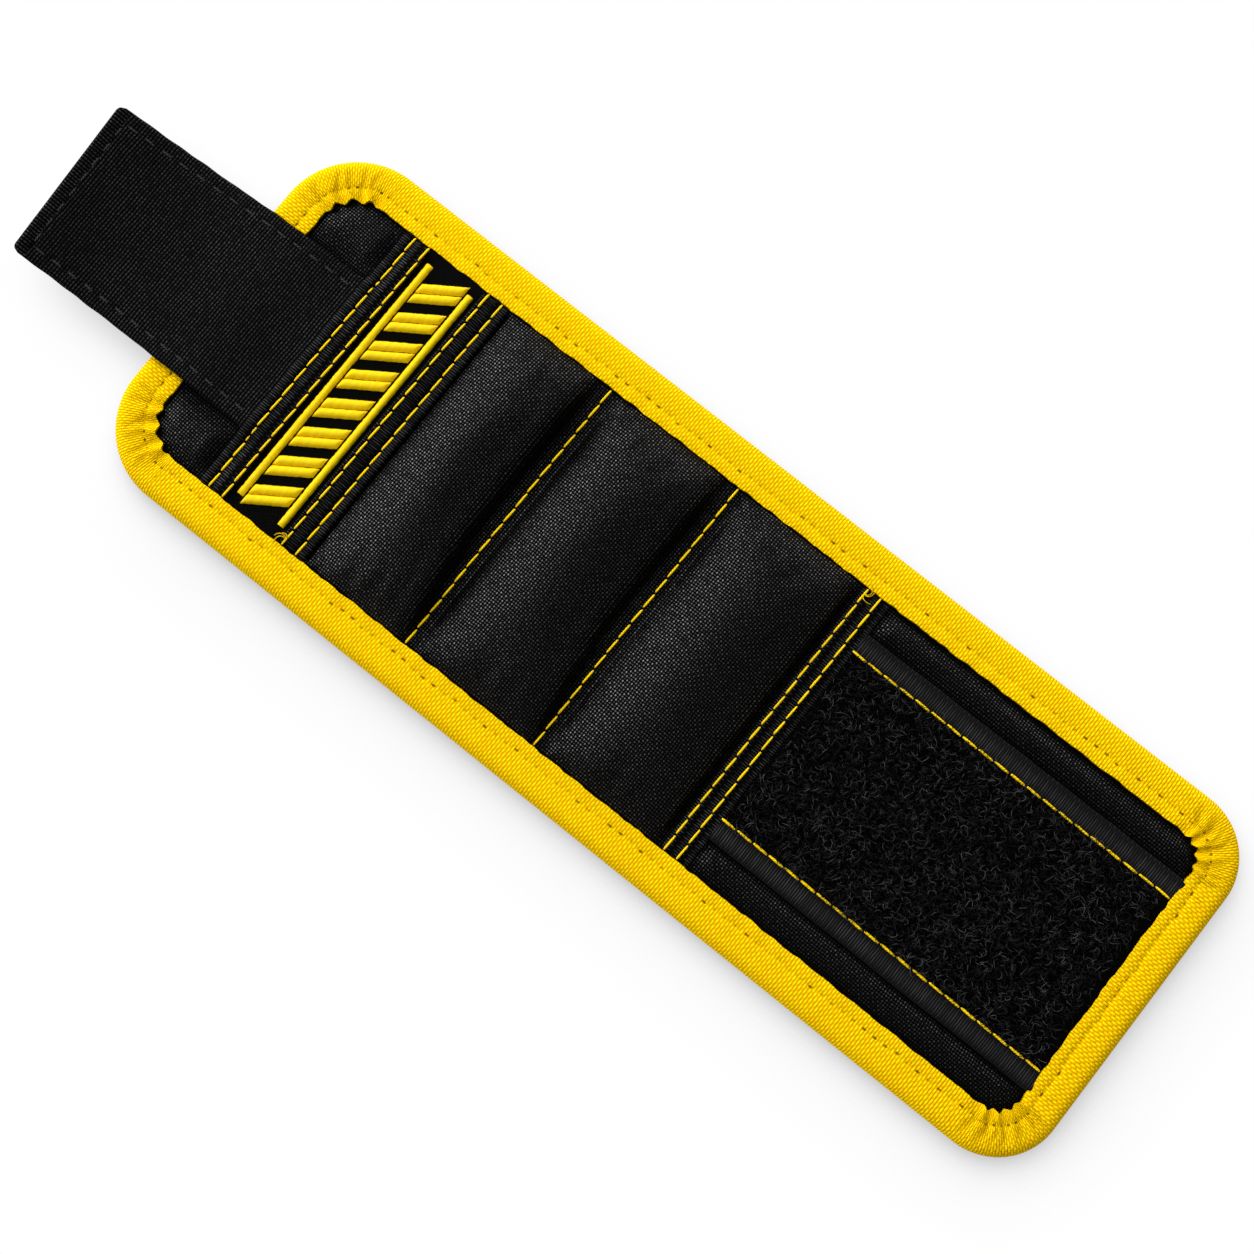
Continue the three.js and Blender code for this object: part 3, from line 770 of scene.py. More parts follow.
def binding_end(name, side, end, radius, cut):
    """The binding round one end of the band, from the cut on one side to the cut on the other."""
    turn_from = HALF_WIDTH - radius
    straight_from = turn_from + radius * math.pi / 2
    corner_x = end - side * radius
    reach = straight_from + abs(cut - corner_x)

    def edge_at(share):
        path = reach * (2 * share - 1)
        hand = 1 if path > 0 else -1
        away = abs(path)
        lie = corner_x - side * (away - straight_from)
        middle = (turn_from + straight_from) / 2
        corner = 1 - ease((abs(away - middle) - PLEATS_REACH) / PLEATS_REACH)
        if away < turn_from:
            return Vector((end, hand * away, 0)), Vector((side, 0, 0)), lie, corner
        if away < straight_from:
            turn = (away - turn_from) / radius
            outward = Vector((side * math.cos(turn), hand * math.sin(turn), 0))
            return Vector((corner_x, hand * turn_from, 0)) + outward * radius, outward, lie, corner
        return Vector((lie, hand * HALF_WIDTH, 0)), Vector((0, hand, 0)), lie, corner

    return binding_run(name, round(2 * reach / BINDING_STEP), edge_at)


def binding_side(name, hand, start, end):
    """A straight stretch of the binding along one long side."""
    def edge_at(share):
        x = start + (end - start) * share
        return Vector((x, hand * HALF_WIDTH, 0)), Vector((0, hand, 0)), x, 0.0

    return binding_run(name, round((end - start) / BINDING_STEP), edge_at)


# The stuffed channels


COVER_BASE = SHELL_TOP + 0.15 * MM
COVER_RISE = POCKET_TOP - COVER_BASE
COVER_HALF = HALF_WIDTH - BINDING_LEG + 0.4 * MM
COVER_TUCK = 1.4 * MM
COVER_START = TAPE_HIGH["channels"].x - COVER_TUCK
COVER_END = TAPE_LOW["tail"].x + COVER_TUCK
CHANNEL_EDGES = [TAPE_HIGH["channels"].x, FOLD_X[1], FOLD_X[2], TAPE_LOW["tail"].x]
FIRST_PAD_INSET = 0.3 * MM
LAST_PAD_INSET = 1.2 * MM
ROW_AFTER = 2.2 * MM
ROW_BEFORE = 3.2 * MM
ROW_BEFORE_FRONT = 0.6 * MM
# How much fuller each channel is beside the ends of its far row, at the front and at the rear
CORNER_FULLNESS = [(0.12, 0.22), (0.12, 0.18), (0.08, 0.12)]
CORNER_FROM_ROW = 8 * MM
CORNER_FROM_MIDDLE = 25 * MM
CORNER_R = 9 * MM
# How squarely each pad rounds off towards the row it starts at and the row it ends at
START_POWER = 2.2
END_POWER = 4.5
GATHER_PITCH = 7 * MM
GATHER_RISE = 0.05
WALL_STEEPER = 0.65
WALL_REACH = 3.5 * MM
PUCKER = 0.16 * MM
PUCKER_REACH = 2.4 * MM
COVER_STEP = 1.2 * MM
COVER_FINE_STEP = 0.55 * MM
COVER_ROWS = 128
COVER_SUNK = 0.3 * MM
# The cloth is simulated larger than it is, because the solver's tolerances suit bigger cloth
SIM_SCALE = 20
SIM_FRAMES = 20
SIM_CLOTH = {
    "quality": 8,
    "mass": 0.3,
    "tension_stiffness": 40,
    "compression_stiffness": 40,
    "shear_stiffness": 12,
    "bending_stiffness": 3,
    "air_damping": 2,
    "use_pressure": True,
    "uniform_pressure_force": 6,
    "shrink_min": -0.002,
    "vertex_group_mass": "sewn",
}


def vaults(y):
    """Where each pad starts and ends along the band. A wedge of flat cloth lies before each row."""
    wedge = ease((y + COVER_HALF) / COVER_HALF)
    before = ROW_BEFORE_FRONT + (ROW_BEFORE - ROW_BEFORE_FRONT) * wedge
    return [
        (CHANNEL_EDGES[0] + FIRST_PAD_INSET, CHANNEL_EDGES[1] - before),
        (CHANNEL_EDGES[1] + ROW_AFTER, CHANNEL_EDGES[2] - before),
        (CHANNEL_EDGES[2] + ROW_AFTER, CHANNEL_EDGES[3] - LAST_PAD_INSET),
    ]


def first_level(x, y):
    """The channel cover before its pads swell: three vaults, gathered where the binding holds them."""
    end = abs(y) / COVER_HALF
    close = (1 - end ** 6) ** 0.8
    for (low, high), fullness in zip(vaults(y), CORNER_FULLNESS):
        if low < x < high:
            share = (2 * x - low - high) / (high - low)
            power = START_POWER if share < 0 else END_POWER
            vault = (1 - abs(share) ** power) * (0.94 + 0.1 * wobble(x, y, 20 * MM))
            gather = math.sin(2 * math.pi * x / GATHER_PITCH + 4 * wobble(x, y, 18 * MM))
            gather *= GATHER_RISE * (1 - share ** 2) * ease((end - 0.55) / 0.3)
            corner = (high - x - CORNER_FROM_ROW) ** 2 + (abs(y) - CORNER_FROM_MIDDLE) ** 2
            bulge = fullness[0 if y < 0 else 1] * math.exp(-corner / CORNER_R ** 2)
            return COVER_BASE + COVER_RISE * (vault + gather + bulge) * close
    return COVER_BASE


def sewn_down(x, y):
    """Whether the channel cover is held by its edges or by a sewn row."""
    if abs(y) > COVER_HALF - COVER_STEP / 2:
        return True
    return not any(low < x < high for low, high in vaults(y))


def swollen_cover():
    """The channel cover blown up by its pads: cloth with some to spare, settled by simulation."""
    columns = round((COVER_END - COVER_START) / COVER_STEP)
    rows = round(2 * COVER_HALF / COVER_STEP)

    def place(along, across):
        x = COVER_START + (COVER_END - COVER_START) * along
        y = (2 * across - 1) * COVER_HALF
        return Vector((x, y, first_level(x, y))) * SIM_SCALE, (along * columns, across * rows, 0)

    sheet = finished("cover_sheet", cloth_grid(columns, rows, place))
    held = sheet.vertex_groups.new(name="sewn")
    held.add([vert.index for vert in sheet.data.vertices
              if sewn_down(vert.co.x / SIM_SCALE, vert.co.y / SIM_SCALE)], 1, "REPLACE")
    settings = sheet.modifiers.new("cloth", "CLOTH").settings
    for setting, value in SIM_CLOTH.items():
        setattr(settings, setting, value)
    settings.effector_weights.gravity = 0
    scene = bpy.context.scene
    for step in range(1, SIM_FRAMES + 1):
        scene.frame_set(step)
    settled = sheet.evaluated_get(bpy.context.evaluated_depsgraph_get()).to_mesh()
    lies = sheet.data.attributes["lay"].data
    grid = [[None] * (rows + 1) for _ in range(columns + 1)]
    for vert, lie in zip(settled.vertices, lies):
        grid[round(lie.vector.x)][round(lie.vector.y)] = vert.co / SIM_SCALE
    bpy.data.objects.remove(sheet)
    scene.frame_set(1)
    crowns = [max(line[row].z for line in grid) for row in range(rows // 4, rows - rows // 4)]
    lift = COVER_RISE / (sum(crowns) / len(crowns) - COVER_BASE)
    for column, line in enumerate(grid):
        x = COVER_START + (COVER_END - COVER_START) * column / columns
        for row, point in enumerate(line):
            inside = [high - x for low, high in vaults((2 * row / rows - 1) * COVER_HALF) if low < x < high]
            stand = 1 + WALL_STEEPER * math.exp(-(inside[0] / WALL_REACH) ** 2) if inside else 1
            point.z = COVER_BASE + (point.z - COVER_BASE) * lift * stand
    return grid


def smooth_between(points, share):
    """A smooth run through four points, at a share of the way from the second to the third."""
    before, first, second, after = points
    return first + 0.5 * share * (
        second - before
        + share * (2 * before - 5 * first + 4 * second - after
                   + share * (3 * (first - second) + after - before))
    )


COVER_GRID = swollen_cover()


def around(index, count):
    """The four neighbours of a place in a row, kept inside it."""
    return [min(max(index + step, 0), count - 1) for step in (-1, 0, 1, 2)]


def cover_point(x, y):
    """A point of the swollen channel cover, from its place on the cloth laid flat."""
    columns = len(COVER_GRID)
    rows = len(COVER_GRID[0])
    along = (x - COVER_START) / (COVER_END - COVER_START) * (columns - 1)
    across = (y / COVER_HALF + 1) / 2 * (rows - 1)
    column = min(int(along), columns - 2)
    row = min(int(across), rows - 2)
    lines = [smooth_between([COVER_GRID[i][j] for j in around(row, rows)], across - row)
             for i in around(column, columns)]
    point = smooth_between(lines, along - column)
    beside = min(abs(x - edge) for edge in CHANNEL_EDGES)
    pucker = math.sin(2 * math.pi * y / STITCH_PITCH + 2 * wobble(x, y, 20 * MM))
    ease_in = min(1.0, beside / (0.8 * MM)) * ease((COVER_HALF - abs(y)) / (4 * MM))
    point.z += PUCKER * pucker * math.exp(-beside / PUCKER_REACH) * ease_in
    return point


def channel_cover(name, start, end):
    """A stretch of the channel cover, closed below."""
    def place(along, across):
        x = start + (end - start) * along
        y = (2 * across - 1) * COVER_HALF
        return cover_point(x, y), (x, y, 0)

    bm = cloth_grid(round((end - start) / COVER_FINE_STEP), COVER_ROWS, place)
    add_back(bm, lambda point: Vector((point.x, point.y, SHELL_TOP - COVER_SUNK)))
    piece = finished(name, bm, COVER_CLOTH_PAINTED_LIGHTER, COVER_CLOTH_PAINTED_LIGHTER)
    return piece


# Tapes, label and loop tape


TAPE_FACE = SHELL_TOP + 0.95 * MM
TAPE_T = 0.75 * MM
TAPE_TUCK = 0.8 * MM
TAPE_EDGE = 0.45 * MM
TAPE_EDGE_DROP = 0.35 * MM
LABEL_T = 0.55 * MM
LABEL_TUCK = 0.5 * MM
LABEL_STEP = 0.6 * MM
STRAP_STEP = 0.85 * MM
STRAP_STEP_FROM = 20.5 * MM
STRAP_STEP_WIDTH = 2.5 * MM


def tape_level(name, x, y):
    """The face of a seam tape, which steps up onto the label and over the strap's root."""
    if name == "tail":
        return TAPE_FACE
    low = TAPE_LOW[name]
    high = TAPE_HIGH[name]
    share = (x - low.x) / (high.x - low.x)
    on_label = share if name == "strap" else 1 - share
    level = TAPE_FACE + LABEL_STEP * ease((on_label - 0.45) / 0.3)
    if name == "strap":
        on_strap = 1 - ease((abs(y) - STRAP_STEP_FROM) / STRAP_STEP_WIDTH)
        level += STRAP_STEP * on_strap * (1 - ease((share - 0.3) / 0.5))
    return level


def seam_tape(name, rows):
    """A grosgrain tape across the band, dented along its sewn rows."""
    low = TAPE_LOW[name]
    high = TAPE_HIGH[name]
    half = HALF_WIDTH - BINDING_LEG + TAPE_TUCK

    def place(along, across):
        y = (2 * along - 1) * half
        x = low.x + (high.x - low.x) * across
        beside = min(x - low.x, high.x - x)
        level = tape_level(name, x, y)
        level -= TAPE_EDGE_DROP * (1 - ease(beside / TAPE_EDGE))
        for row in rows:
            dent = math.exp(-((x - row) / (0.5 * MM)) ** 2)
            level -= dent * (0.12 + 0.06 * math.cos(2 * math.pi * y / STITCH_PITCH)) * MM
        level += 0.06 * MM * wobble(x, y, 4 * MM)
        level -= (level - SHELL_TOP + 0.1 * MM) * ease((abs(y) - half + 2.2 * MM) / (1.6 * MM))
        sway = 0.12 * MM * wobble(0, y, 11 * MM)
        return Vector((x + sway, y, level)), (y, x, 0)

    bm = cloth_grid(160, 28, place)
    add_back(bm, lambda point: Vector((point.x, point.y, point.z - TAPE_T)))
    piece = finished(f"seam_tape_{name}_cloth", bm, SEAM_TAPE, SEAM_TAPE)
    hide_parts(f"seam_tape_{name}")
    return piece


def label_panel():
    """The plain ground between two seam tapes."""
    half = HALF_WIDTH - BINDING_LEG + LABEL_TUCK

    def place(along, across):
        y = (2 * along - 1) * half
        x = LABEL_LOW.x + (LABEL_HIGH.x - LABEL_LOW.x) * across
        return Vector((x, y, LABEL_TOP + 0.06 * MM * wobble(x, y, 6 * MM))), (y, x, 0)

    bm = cloth_grid(90, 24, place)
    add_back(bm, lambda point: Vector((point.x, point.y, point.z - LABEL_T)))
    piece = finished("label_ground", bm, LABEL_CLOTH, LABEL_CLOTH)
    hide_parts("label_panel")
    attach(piece, "label_section")


LOOP_BASE_TOP = SHELL_TOP + 0.75 * MM
LOOP_GROUND_T = 0.6 * MM
LOOP_STITCH_Y = LOOP_HIGH.y - LOOP_SELVAGE
LOOP_THREAD_R = 0.27 * MM
PILE_INSET = 0.25 * MM
PILE_CURLS = 5000
PILE_FIBRE_R = 0.05 * MM


def loop_base():
    """The woven ground of the loop tape, bare along its two selvages."""
    start = TAPE_LOW["tail"].x + 3 * MM
    end = BAND_END - BINDING_LEG + 1.5 * MM

    def place(along, across):
        x = start + (end - start) * along
        share = 2 * across - 1
        y = share * (LOOP_HIGH.y + 0.15 * MM * wobble(x, share, 8 * MM))
        beside = LOOP_HIGH.y - abs(y)
        level = LOOP_BASE_TOP - 0.3 * MM * (1 - ease(beside / (0.6 * MM)))
        level += 0.12 * MM * ease((2.6 * MM - abs(beside - 2.2 * MM)) / (2 * MM))
        level -= 0.14 * MM * math.exp(-((abs(y) - LOOP_STITCH_Y) / (0.5 * MM)) ** 2)
        return Vector((x, y, level)), (x, y, 0)

    bm = cloth_grid(130, 96, place)
    add_back(bm, lambda point: Vector((point.x, point.y, point.z - LOOP_GROUND_T)))
    for face in bm.faces:
        if abs(face.calc_center_median().y) < LOOP_STITCH_Y:
            face.material_index = 1
    piece = finished("loop_tape_ground", bm, SELVAGE, SHADED_PILE_GROUND)
    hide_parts("loop_tape_inner", "loop_tape_outer")
    bend_at(piece)


def tube_mesh(name, paths, radius, tones, material):
    """Thin fibres along lists of points, as one mesh whose lie holds each fibre's own tone."""
    curve = bpy.data.curves.new(name, "CURVE")
    curve.dimensions = "3D"
    curve.bevel_depth = radius
    curve.bevel_resolution = 0
    curve.use_fill_caps = True
    for points in paths:
        spline = curve.splines.new("POLY")
        spline.points.add(len(points) - 1)
        for knot, point in zip(spline.points, points):
            knot.co = (*point, 1)
    holder = bpy.data.objects.new(name, curve)
    bpy.context.scene.collection.objects.link(holder)
    bpy.context.view_layer.update()
    graph = bpy.context.evaluated_depsgraph_get()
    mesh = bpy.data.meshes.new_from_object(holder.evaluated_get(graph))
    bpy.data.objects.remove(holder)
    mesh.name = name
    lay = mesh.attributes.new("lay", "FLOAT_VECTOR", "POINT")
    share = len(mesh.vertices) // len(paths)
    for i, item in enumerate(lay.data):
        item.vector = ((i % share) / share, tones[min(i // share, len(tones) - 1)], 0)
    mesh.materials.clear()
    mesh.materials.append(material)
    mesh.shade_smooth()
    piece = bpy.data.objects.new(name, mesh)
    bpy.context.scene.collection.objects.link(piece)
    return piece


def loop_pile(name, low, high, seed):
    """Thousands of small curled loops, leaning every way, on one side of the loop tape."""
    draw = random.Random(seed)
    start = TAPE_HIGH["tail"].x + 0.7 * MM
    end = BAND_END - BINDING_LEG - 2.2 * MM
    paths = []
    tones = []
    for i in range(PILE_CURLS):
        # Every other curl is larger, taller and lighter: painted glints on the pile.
        painted_highlight = i % 2 == 0
        foot = Vector((draw.uniform(start, end), draw.uniform(low, high), LOOP_BASE_TOP - 0.05 * MM))
        heading = draw.uniform(0, 2 * math.pi)
        way = Vector((math.cos(heading), math.sin(heading), 0))
        aside = Vector((-way.y, way.x, 0))
        width = draw.uniform(1.1, 2.6) * MM if painted_highlight else draw.uniform(0.7, 1.4) * MM
        height = draw.uniform(0.9, 1.3) * MM if painted_highlight else draw.uniform(0.5, 1.0) * MM
        bow = draw.uniform(-0.8, 0.8) * MM
        points = []
        for step in range(5):
            turn = math.pi * (0.05 + 1.05 * step / 4)
            lift = height * math.sin(min(turn, math.pi * 0.98)) ** 0.8
            points.append(foot + way * (width * (0.5 - 0.5 * math.cos(turn))) + UP * lift
                          + aside * (bow * math.sin(turn)))
        paths.append(points)
        # The lighter tones are painted glints; the others stay near black.
        tones.append(draw.uniform(0.1, 1.0) ** 3 if painted_highlight else draw.uniform(0.0, 0.06))
    piece = tube_mesh(name, paths, PILE_FIBRE_R, tones, PILE)
    bend_at(piece)


# The strap


STRAP_BEND = JOINT_AT["strap_bend"].x
STRAP_START = TAPE_LOW["strap"].x + 3 * MM
STRAP_SPLIT = -88 * MM
STRAP_CLIMB = BAND_START + BINDING_LEG
STRAP_LEVEL = STRAP_ROOT_HIGH.z - STRAP_T / 2
STRAP_ROOT_LEVEL = SHELL_TOP + 0.05 * MM + STRAP_T / 2
STRAP_TIP = STRAP_BEND - STRAP_REACH
STRAP_MESH_STEP = 0.5 * MM
STRAP_ROUND_IN = 0.7 * MM
HOOK_START_INSET = 3.5 * MM
HOOK_END_INSET = 1.5 * MM
HOOK_SIDE_INSET = 2.5 * MM
HOOK_ROW_INSET = 3.2 * MM
HOOK_GROUND_T = 0.5 * MM
HOOK_ROWS = 24
HOOK_R = 0.1 * MM


def strap_at(x_flat, y, height):
    """A point of the strap from its place on the strap laid straight, and the way its face looks."""
    share = ease((STRAP_START - 5 * MM - x_flat) / (STRAP_START - 5 * MM - STRAP_CLIMB))
    middle = STRAP_ROOT_LEVEL + (STRAP_LEVEL - STRAP_ROOT_LEVEL) * share
    if x_flat >= STRAP_BEND:
        return Vector((x_flat, y, middle + height)), UP.copy()
    turn = (STRAP_BEND - x_flat) / STRAP_CURL_R
    facing = Vector((math.sin(turn), 0, math.cos(turn)))
    reach = STRAP_CURL_R - height
    centre_z = STRAP_LEVEL + STRAP_CURL_R
    return Vector((STRAP_BEND - reach * math.sin(turn), y, centre_z - reach * math.cos(turn))), facing


def toward_tip(x_flat):
    """The share of the way from the strap's root to its tip."""
    return (STRAP_ROOT_HIGH.x - x_flat) / (STRAP_ROOT_HIGH.x - STRAP_BEND + STRAP_REACH)


def strap_half(x_flat):
    """Half the strap's width, which changes a little towards its tip."""
    share = min(max(toward_tip(x_flat), 0), 1)
    root = STRAP_ROOT_HIGH.y
    return root + (STRAP_TIP_W / 2 - root) * share + 0.18 * MM * wobble(x_flat, 0, 4 * MM)


def strap_middle(x_flat):
    """How far the strap's middle line has swung aside."""
    return STRAP_SKEW * max(toward_tip(x_flat), 0) ** 2


def strap_share(x_flat, y):
    """Where a point lies across the strap, from -1 at its front edge to 1 at its rear edge."""
    return (y - strap_middle(x_flat)) / strap_half(x_flat)


def strap_end(share):
    """Where the slanted tip ends, from -1 at the strap's front edge to 1 at its rear edge."""
    inside = STRAP_CORNER_R - (1 - abs(share)) * STRAP_TIP_W / 2
    rounded = STRAP_CORNER_R - math.sqrt(STRAP_CORNER_R ** 2 - max(0.0, min(inside, STRAP_CORNER_R)) ** 2)
    return STRAP_TIP + STRAP_TIP_SLANT * (1 - share) / 2 + rounded


def strap_thick(x_flat, share):
    """Half the strap's thickness: rounded at its edges, fuller in the hem and drawn in along its row."""
    beside = (1 - abs(share)) * strap_half(x_flat)
    from_edge = min(beside, x_flat - strap_end(share))
    fade = min(max(from_edge / STRAP_ROUND_IN, 0.0), 1.0)
    half = STRAP_T / 2 * (0.35 + 0.65 * math.sqrt(1 - (1 - fade) ** 2))
    along_row = x_flat if beside == from_edge else beside
    dent = 0.15 + 0.13 * math.cos(2 * math.pi * along_row / HEM_STITCH_PITCH)
    half -= dent * MM * math.exp(-((from_edge - HEM_INSET) / (0.7 * MM)) ** 2)
    return half + 0.06 * MM * wobble(x_flat, beside, 5 * MM)


def add_strap_back(bm, height_at):
    """Closes a grid on the strap into a slab, whose other face lies at height_at(x, y)."""
    lay = bm.verts.layers.float_vector["lay"]
    made = bmesh.ops.extrude_face_region(bm, geom=list(bm.faces))
    for vert in (item for item in made["geom"] if isinstance(item, bmesh.types.BMVert)):
        x, y, _ = vert[lay]
        vert.co, _ = strap_at(x, y, height_at(x, y))
    bmesh.ops.recalc_face_normals(bm, faces=list(bm.faces))


def strap_piece(name, start, end):
    """A stretch of the webbing strap between two places, laid straight."""
    def place(along, across):
        share = 2 * across - 1
        x = start + ((strap_end(share) if end == STRAP_TIP else end) - start) * along
        y = strap_middle(x) + share * strap_half(x)
        point, _ = strap_at(x, y, strap_thick(x, share))
        return point, (x, y, 0)

    bm = cloth_grid(round(abs(end - start) / STRAP_MESH_STEP), 84, place)
    add_strap_back(bm, lambda x, y: -strap_thick(x, strap_share(x, y)))
    lay = bm.verts.layers.float_vector["lay"]
    for face in bm.faces:
        x, y, _ = sum((vert[lay] for vert in face.verts), Vector()) / len(face.verts)
        if x - strap_end(strap_share(x, y)) < HEM_INSET:
            face.material_index = 1
    piece = finished(name, bm, WEBBING, WEBBING_HEM)
    return piece


def hook_tape():
    """The hook strip under the strap's free end: its ground and rows of small hooks."""
    start = STRAP_BEND - HOOK_START_INSET
    end = STRAP_TIP + STRAP_TIP_SLANT + HOOK_END_INSET

    def place(along, across):
        x = start + (end - start) * along
        y = strap_middle(x) + (2 * across - 1) * (strap_half(x) - HOOK_SIDE_INSET)
        point, _ = strap_at(x, y, -STRAP_T / 2 - 0.02 * MM)
        return point, (x, y, 0)

    bm = cloth_grid(60, 60, place)
    add_strap_back(bm, lambda x, y: -STRAP_T / 2 - HOOK_GROUND_T)
    ground = finished("hook_tape_ground", bm, SEAM_TAPE)
    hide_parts("hook_tape")
    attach(ground, "strap_tip")

    draw = random.Random(5)
    paths = []
    tones = []
    for i in range(HOOK_ROWS):
        for j in range(HOOK_ROWS):
            x = start + (end - start) * (i + 0.5) / HOOK_ROWS
            half = strap_half(x) - HOOK_ROW_INSET
            y = strap_middle(x) + half * (2 * (j + 0.5) / HOOK_ROWS - 1) + draw.uniform(-0.1, 0.1) * MM
            hand = 1 if (i + j) % 2 else -1
            points = []
            for k in range(7):
                turn = math.pi * 1.25 * k / 6
                down = -STRAP_T / 2 - 0.4 * MM - 0.75 * MM * math.sin(min(turn, math.pi * 0.5))
                if turn > math.pi / 2:
                    down += 0.35 * MM * (1 - math.sin(turn))
                sideways = 0.3 * MM * (1 - math.cos(turn)) * hand
                points.append(strap_at(x, y + sideways, down)[0])
            paths.append(points)
            tones.append(draw.random())
    hooks = tube_mesh("hook_tape_hooks", paths, HOOK_R, tones, HOOKS)
    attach(hooks, "strap_tip")


# Threads


ROW_HALF = HALF_WIDTH - BINDING_LEG - 0.1 * MM
STITCH_SLANT = 0.09 * MM
HEM_THREAD_R = 0.24 * MM
THREAD_END_R = 0.13 * MM
TAPE_ROWS = {
    "strap": (2.65 * MM, 6.55 * MM),
    "channels": (1.1 * MM, 4.7 * MM),
    "tail": (0.95 * MM, 4.3 * MM),
}


def add_stitch(bm, lay, start, end, facing, radius):
    """One stitch of thread: a long bead that dives into the cloth at both ends."""
    along = end - start
    length = along.length
    way = along.normalized()
    side = facing.cross(way).normalized()
    rise = way.cross(side)
    axes = Matrix((side, rise, way)).transposed().to_4x4()
    sizes = Matrix.Diagonal((radius, radius * 0.85, length / 2, 1))
    made = bmesh.ops.create_uvsphere(
        bm, u_segments=8, v_segments=6, radius=1,
        matrix=Matrix.Translation((start + end) / 2) @ axes @ sizes,
    )
    middle = (start + end) / 2
    for vert in made["verts"]:
        offset = vert.co - middle
        share = offset.dot(way) / (length / 2)
        turn = math.atan2(offset.dot(rise), offset.dot(side)) / (2 * math.pi)
        vert[lay] = (offset.dot(way), turn, 0)
        full = (1 - 0.35 * share ** 4) / math.sqrt(max(1 - share ** 2, 0.01))
        vert.co = middle + way * offset.dot(way) + (offset - way * offset.dot(way)) * full
        vert.co -= rise * (radius * 0.9 * share ** 10)


def sew(name, rows, material, pitch=STITCH_PITCH, radius=THREAD_R, gap=0.02, seed=1):
    """Rows of stitches. Each row is a length and a place(distance) that gives a point and its facing."""
    draw = random.Random(seed)
    bm = bmesh.new()
    lay = bm.verts.layers.float_vector.new("lay")
    for length, place in rows:
        count = round(length / pitch)
        step = length / count
        for i in range(count):
            start, facing = place(step * (i + gap / 2 + draw.uniform(0, 0.03)))
            end, _ = place(step * (i + 1 - gap / 2 - draw.uniform(0, 0.03)))
            aside = facing.cross((end - start).normalized()) * STITCH_SLANT
            add_stitch(bm, lay, start + aside, end - aside, facing, radius * draw.uniform(0.93, 1.07))
    return finished(name, bm, material)


def cross_row(x, level_at, half):
    """A row across the band at one place along it."""
    def place(distance):
        y = distance - half
        return Vector((x + 0.1 * MM * wobble(x, y, 9 * MM), y, level_at(x, y))), UP

    return 2 * half, place


def tape_rows(name, places):
    """The two rows that hold a seam tape down."""
    rows = [cross_row(x, lambda x, y: tape_level(name, x, y) - 0.02 * MM, ROW_HALF) for x in places]
    piece = sew(f"stitches_tape_{name}", rows, GOLD_THREAD, seed=len(name))
    return piece


def divider_row(index):
    """The row that divides two channels."""
    rows = [cross_row(FOLD_X[index], lambda x, y: COVER_BASE + 0.18 * MM, ROW_HALF)]
    piece = sew(f"stitches_divider_{index}", rows, GOLD_THREAD, seed=20 + index)
    bend_at(piece)


def loop_rows():
    """The rows along the loop tape's two selvages."""
    start = TAPE_HIGH["tail"].x - 0.8 * MM
    length = BAND_END - BINDING_LEG - start

    def along(hand):
        def place(distance):
            x = start + distance
            y = hand * (LOOP_STITCH_Y + 0.1 * MM * wobble(x, hand, 9 * MM))
            return Vector((x, y, LOOP_BASE_TOP + 0.1 * MM)), UP

        return length, place

    piece = sew("stitches_loop_tape", [along(1), along(-1)], GOLD_THREAD, radius=LOOP_THREAD_R, seed=31)
    bend_at(piece)


def hem_rows(name, start, end, across_tip):
    """The black rows along the strap's hems, and across its tip."""
    def along(hand):
        stop = strap_end(hand * 0.8) + HEM_INSET if across_tip else end

        def place(distance):
            x = start - distance
            y = strap_middle(x) + hand * (strap_half(x) - HEM_INSET)
            return strap_at(x, y, STRAP_T / 2 - 0.1 * MM)

        return start - stop, place

    rows = [along(1), along(-1)]
    if across_tip:
        half = strap_half(end) - HEM_INSET

        def tip(distance):
            x = strap_end(0.8 * (distance / half - 1)) + HEM_INSET
            return strap_at(x, strap_middle(x) + distance - half, STRAP_T / 2 - 0.1 * MM)

        rows.append((2 * half, tip))
    piece = sew(name, rows, BLACK_THREAD, pitch=HEM_STITCH_PITCH, radius=HEM_THREAD_R, gap=0.35, seed=41)
    return piece


def thread_ends():
    """Cut ends of thread that stand up where two rows were finished."""
    draw = random.Random(17)
    half = HALF_WIDTH - BINDING_LEG
    for name, body, x, hand in (
        ("thread_end_label", "label_section", TAPE_LOW["channels"].x + TAPE_ROWS["channels"][0], -1),
        ("thread_end_tail", "tail_inner", TAPE_LOW["tail"].x + TAPE_ROWS["tail"][0], 1),
    ):
        level = (LABEL_TOP if hand < 0 else SHELL_TOP) + 1.0 * MM
        paths = []
        for _ in range(3):
            curl = draw.uniform(1.2, 2.2)
            reach = draw.uniform(1.6, 3.0) * MM
            heading = draw.uniform(-0.8, 0.8) - hand * math.pi / 2
            points = []
            for step in range(8):
                share = step / 7
                turn = heading + curl * share
                points.append(Vector((
                    x + reach * share * math.cos(turn),
                    hand * (half - 1.5 * MM) + reach * share * math.sin(turn),
                    level + 0.5 * MM * math.sin(math.pi * share) - 0.2 * MM,
                )))
            paths.append(points)
        piece = tube_mesh(name, paths, THREAD_END_R, [0.5] * len(paths), GOLD_THREAD)
        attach(piece, body)


# The embroidered field, filled with plain slanted bars


# A section is a satin column's width and height
BORDER_HALF = 32.3 * MM
BORDER_OFFSET = 5.6 * MM
BORDER_SECTION = (1.7 * MM, 0.75 * MM)
BARS = 8
BAR_OFFSET = 1.35 * MM
BAR_REACH = 4.35 * MM
BAR_SLANT = 2.9 * MM
BAR_SECTION = (2.2 * MM, 0.95 * MM)


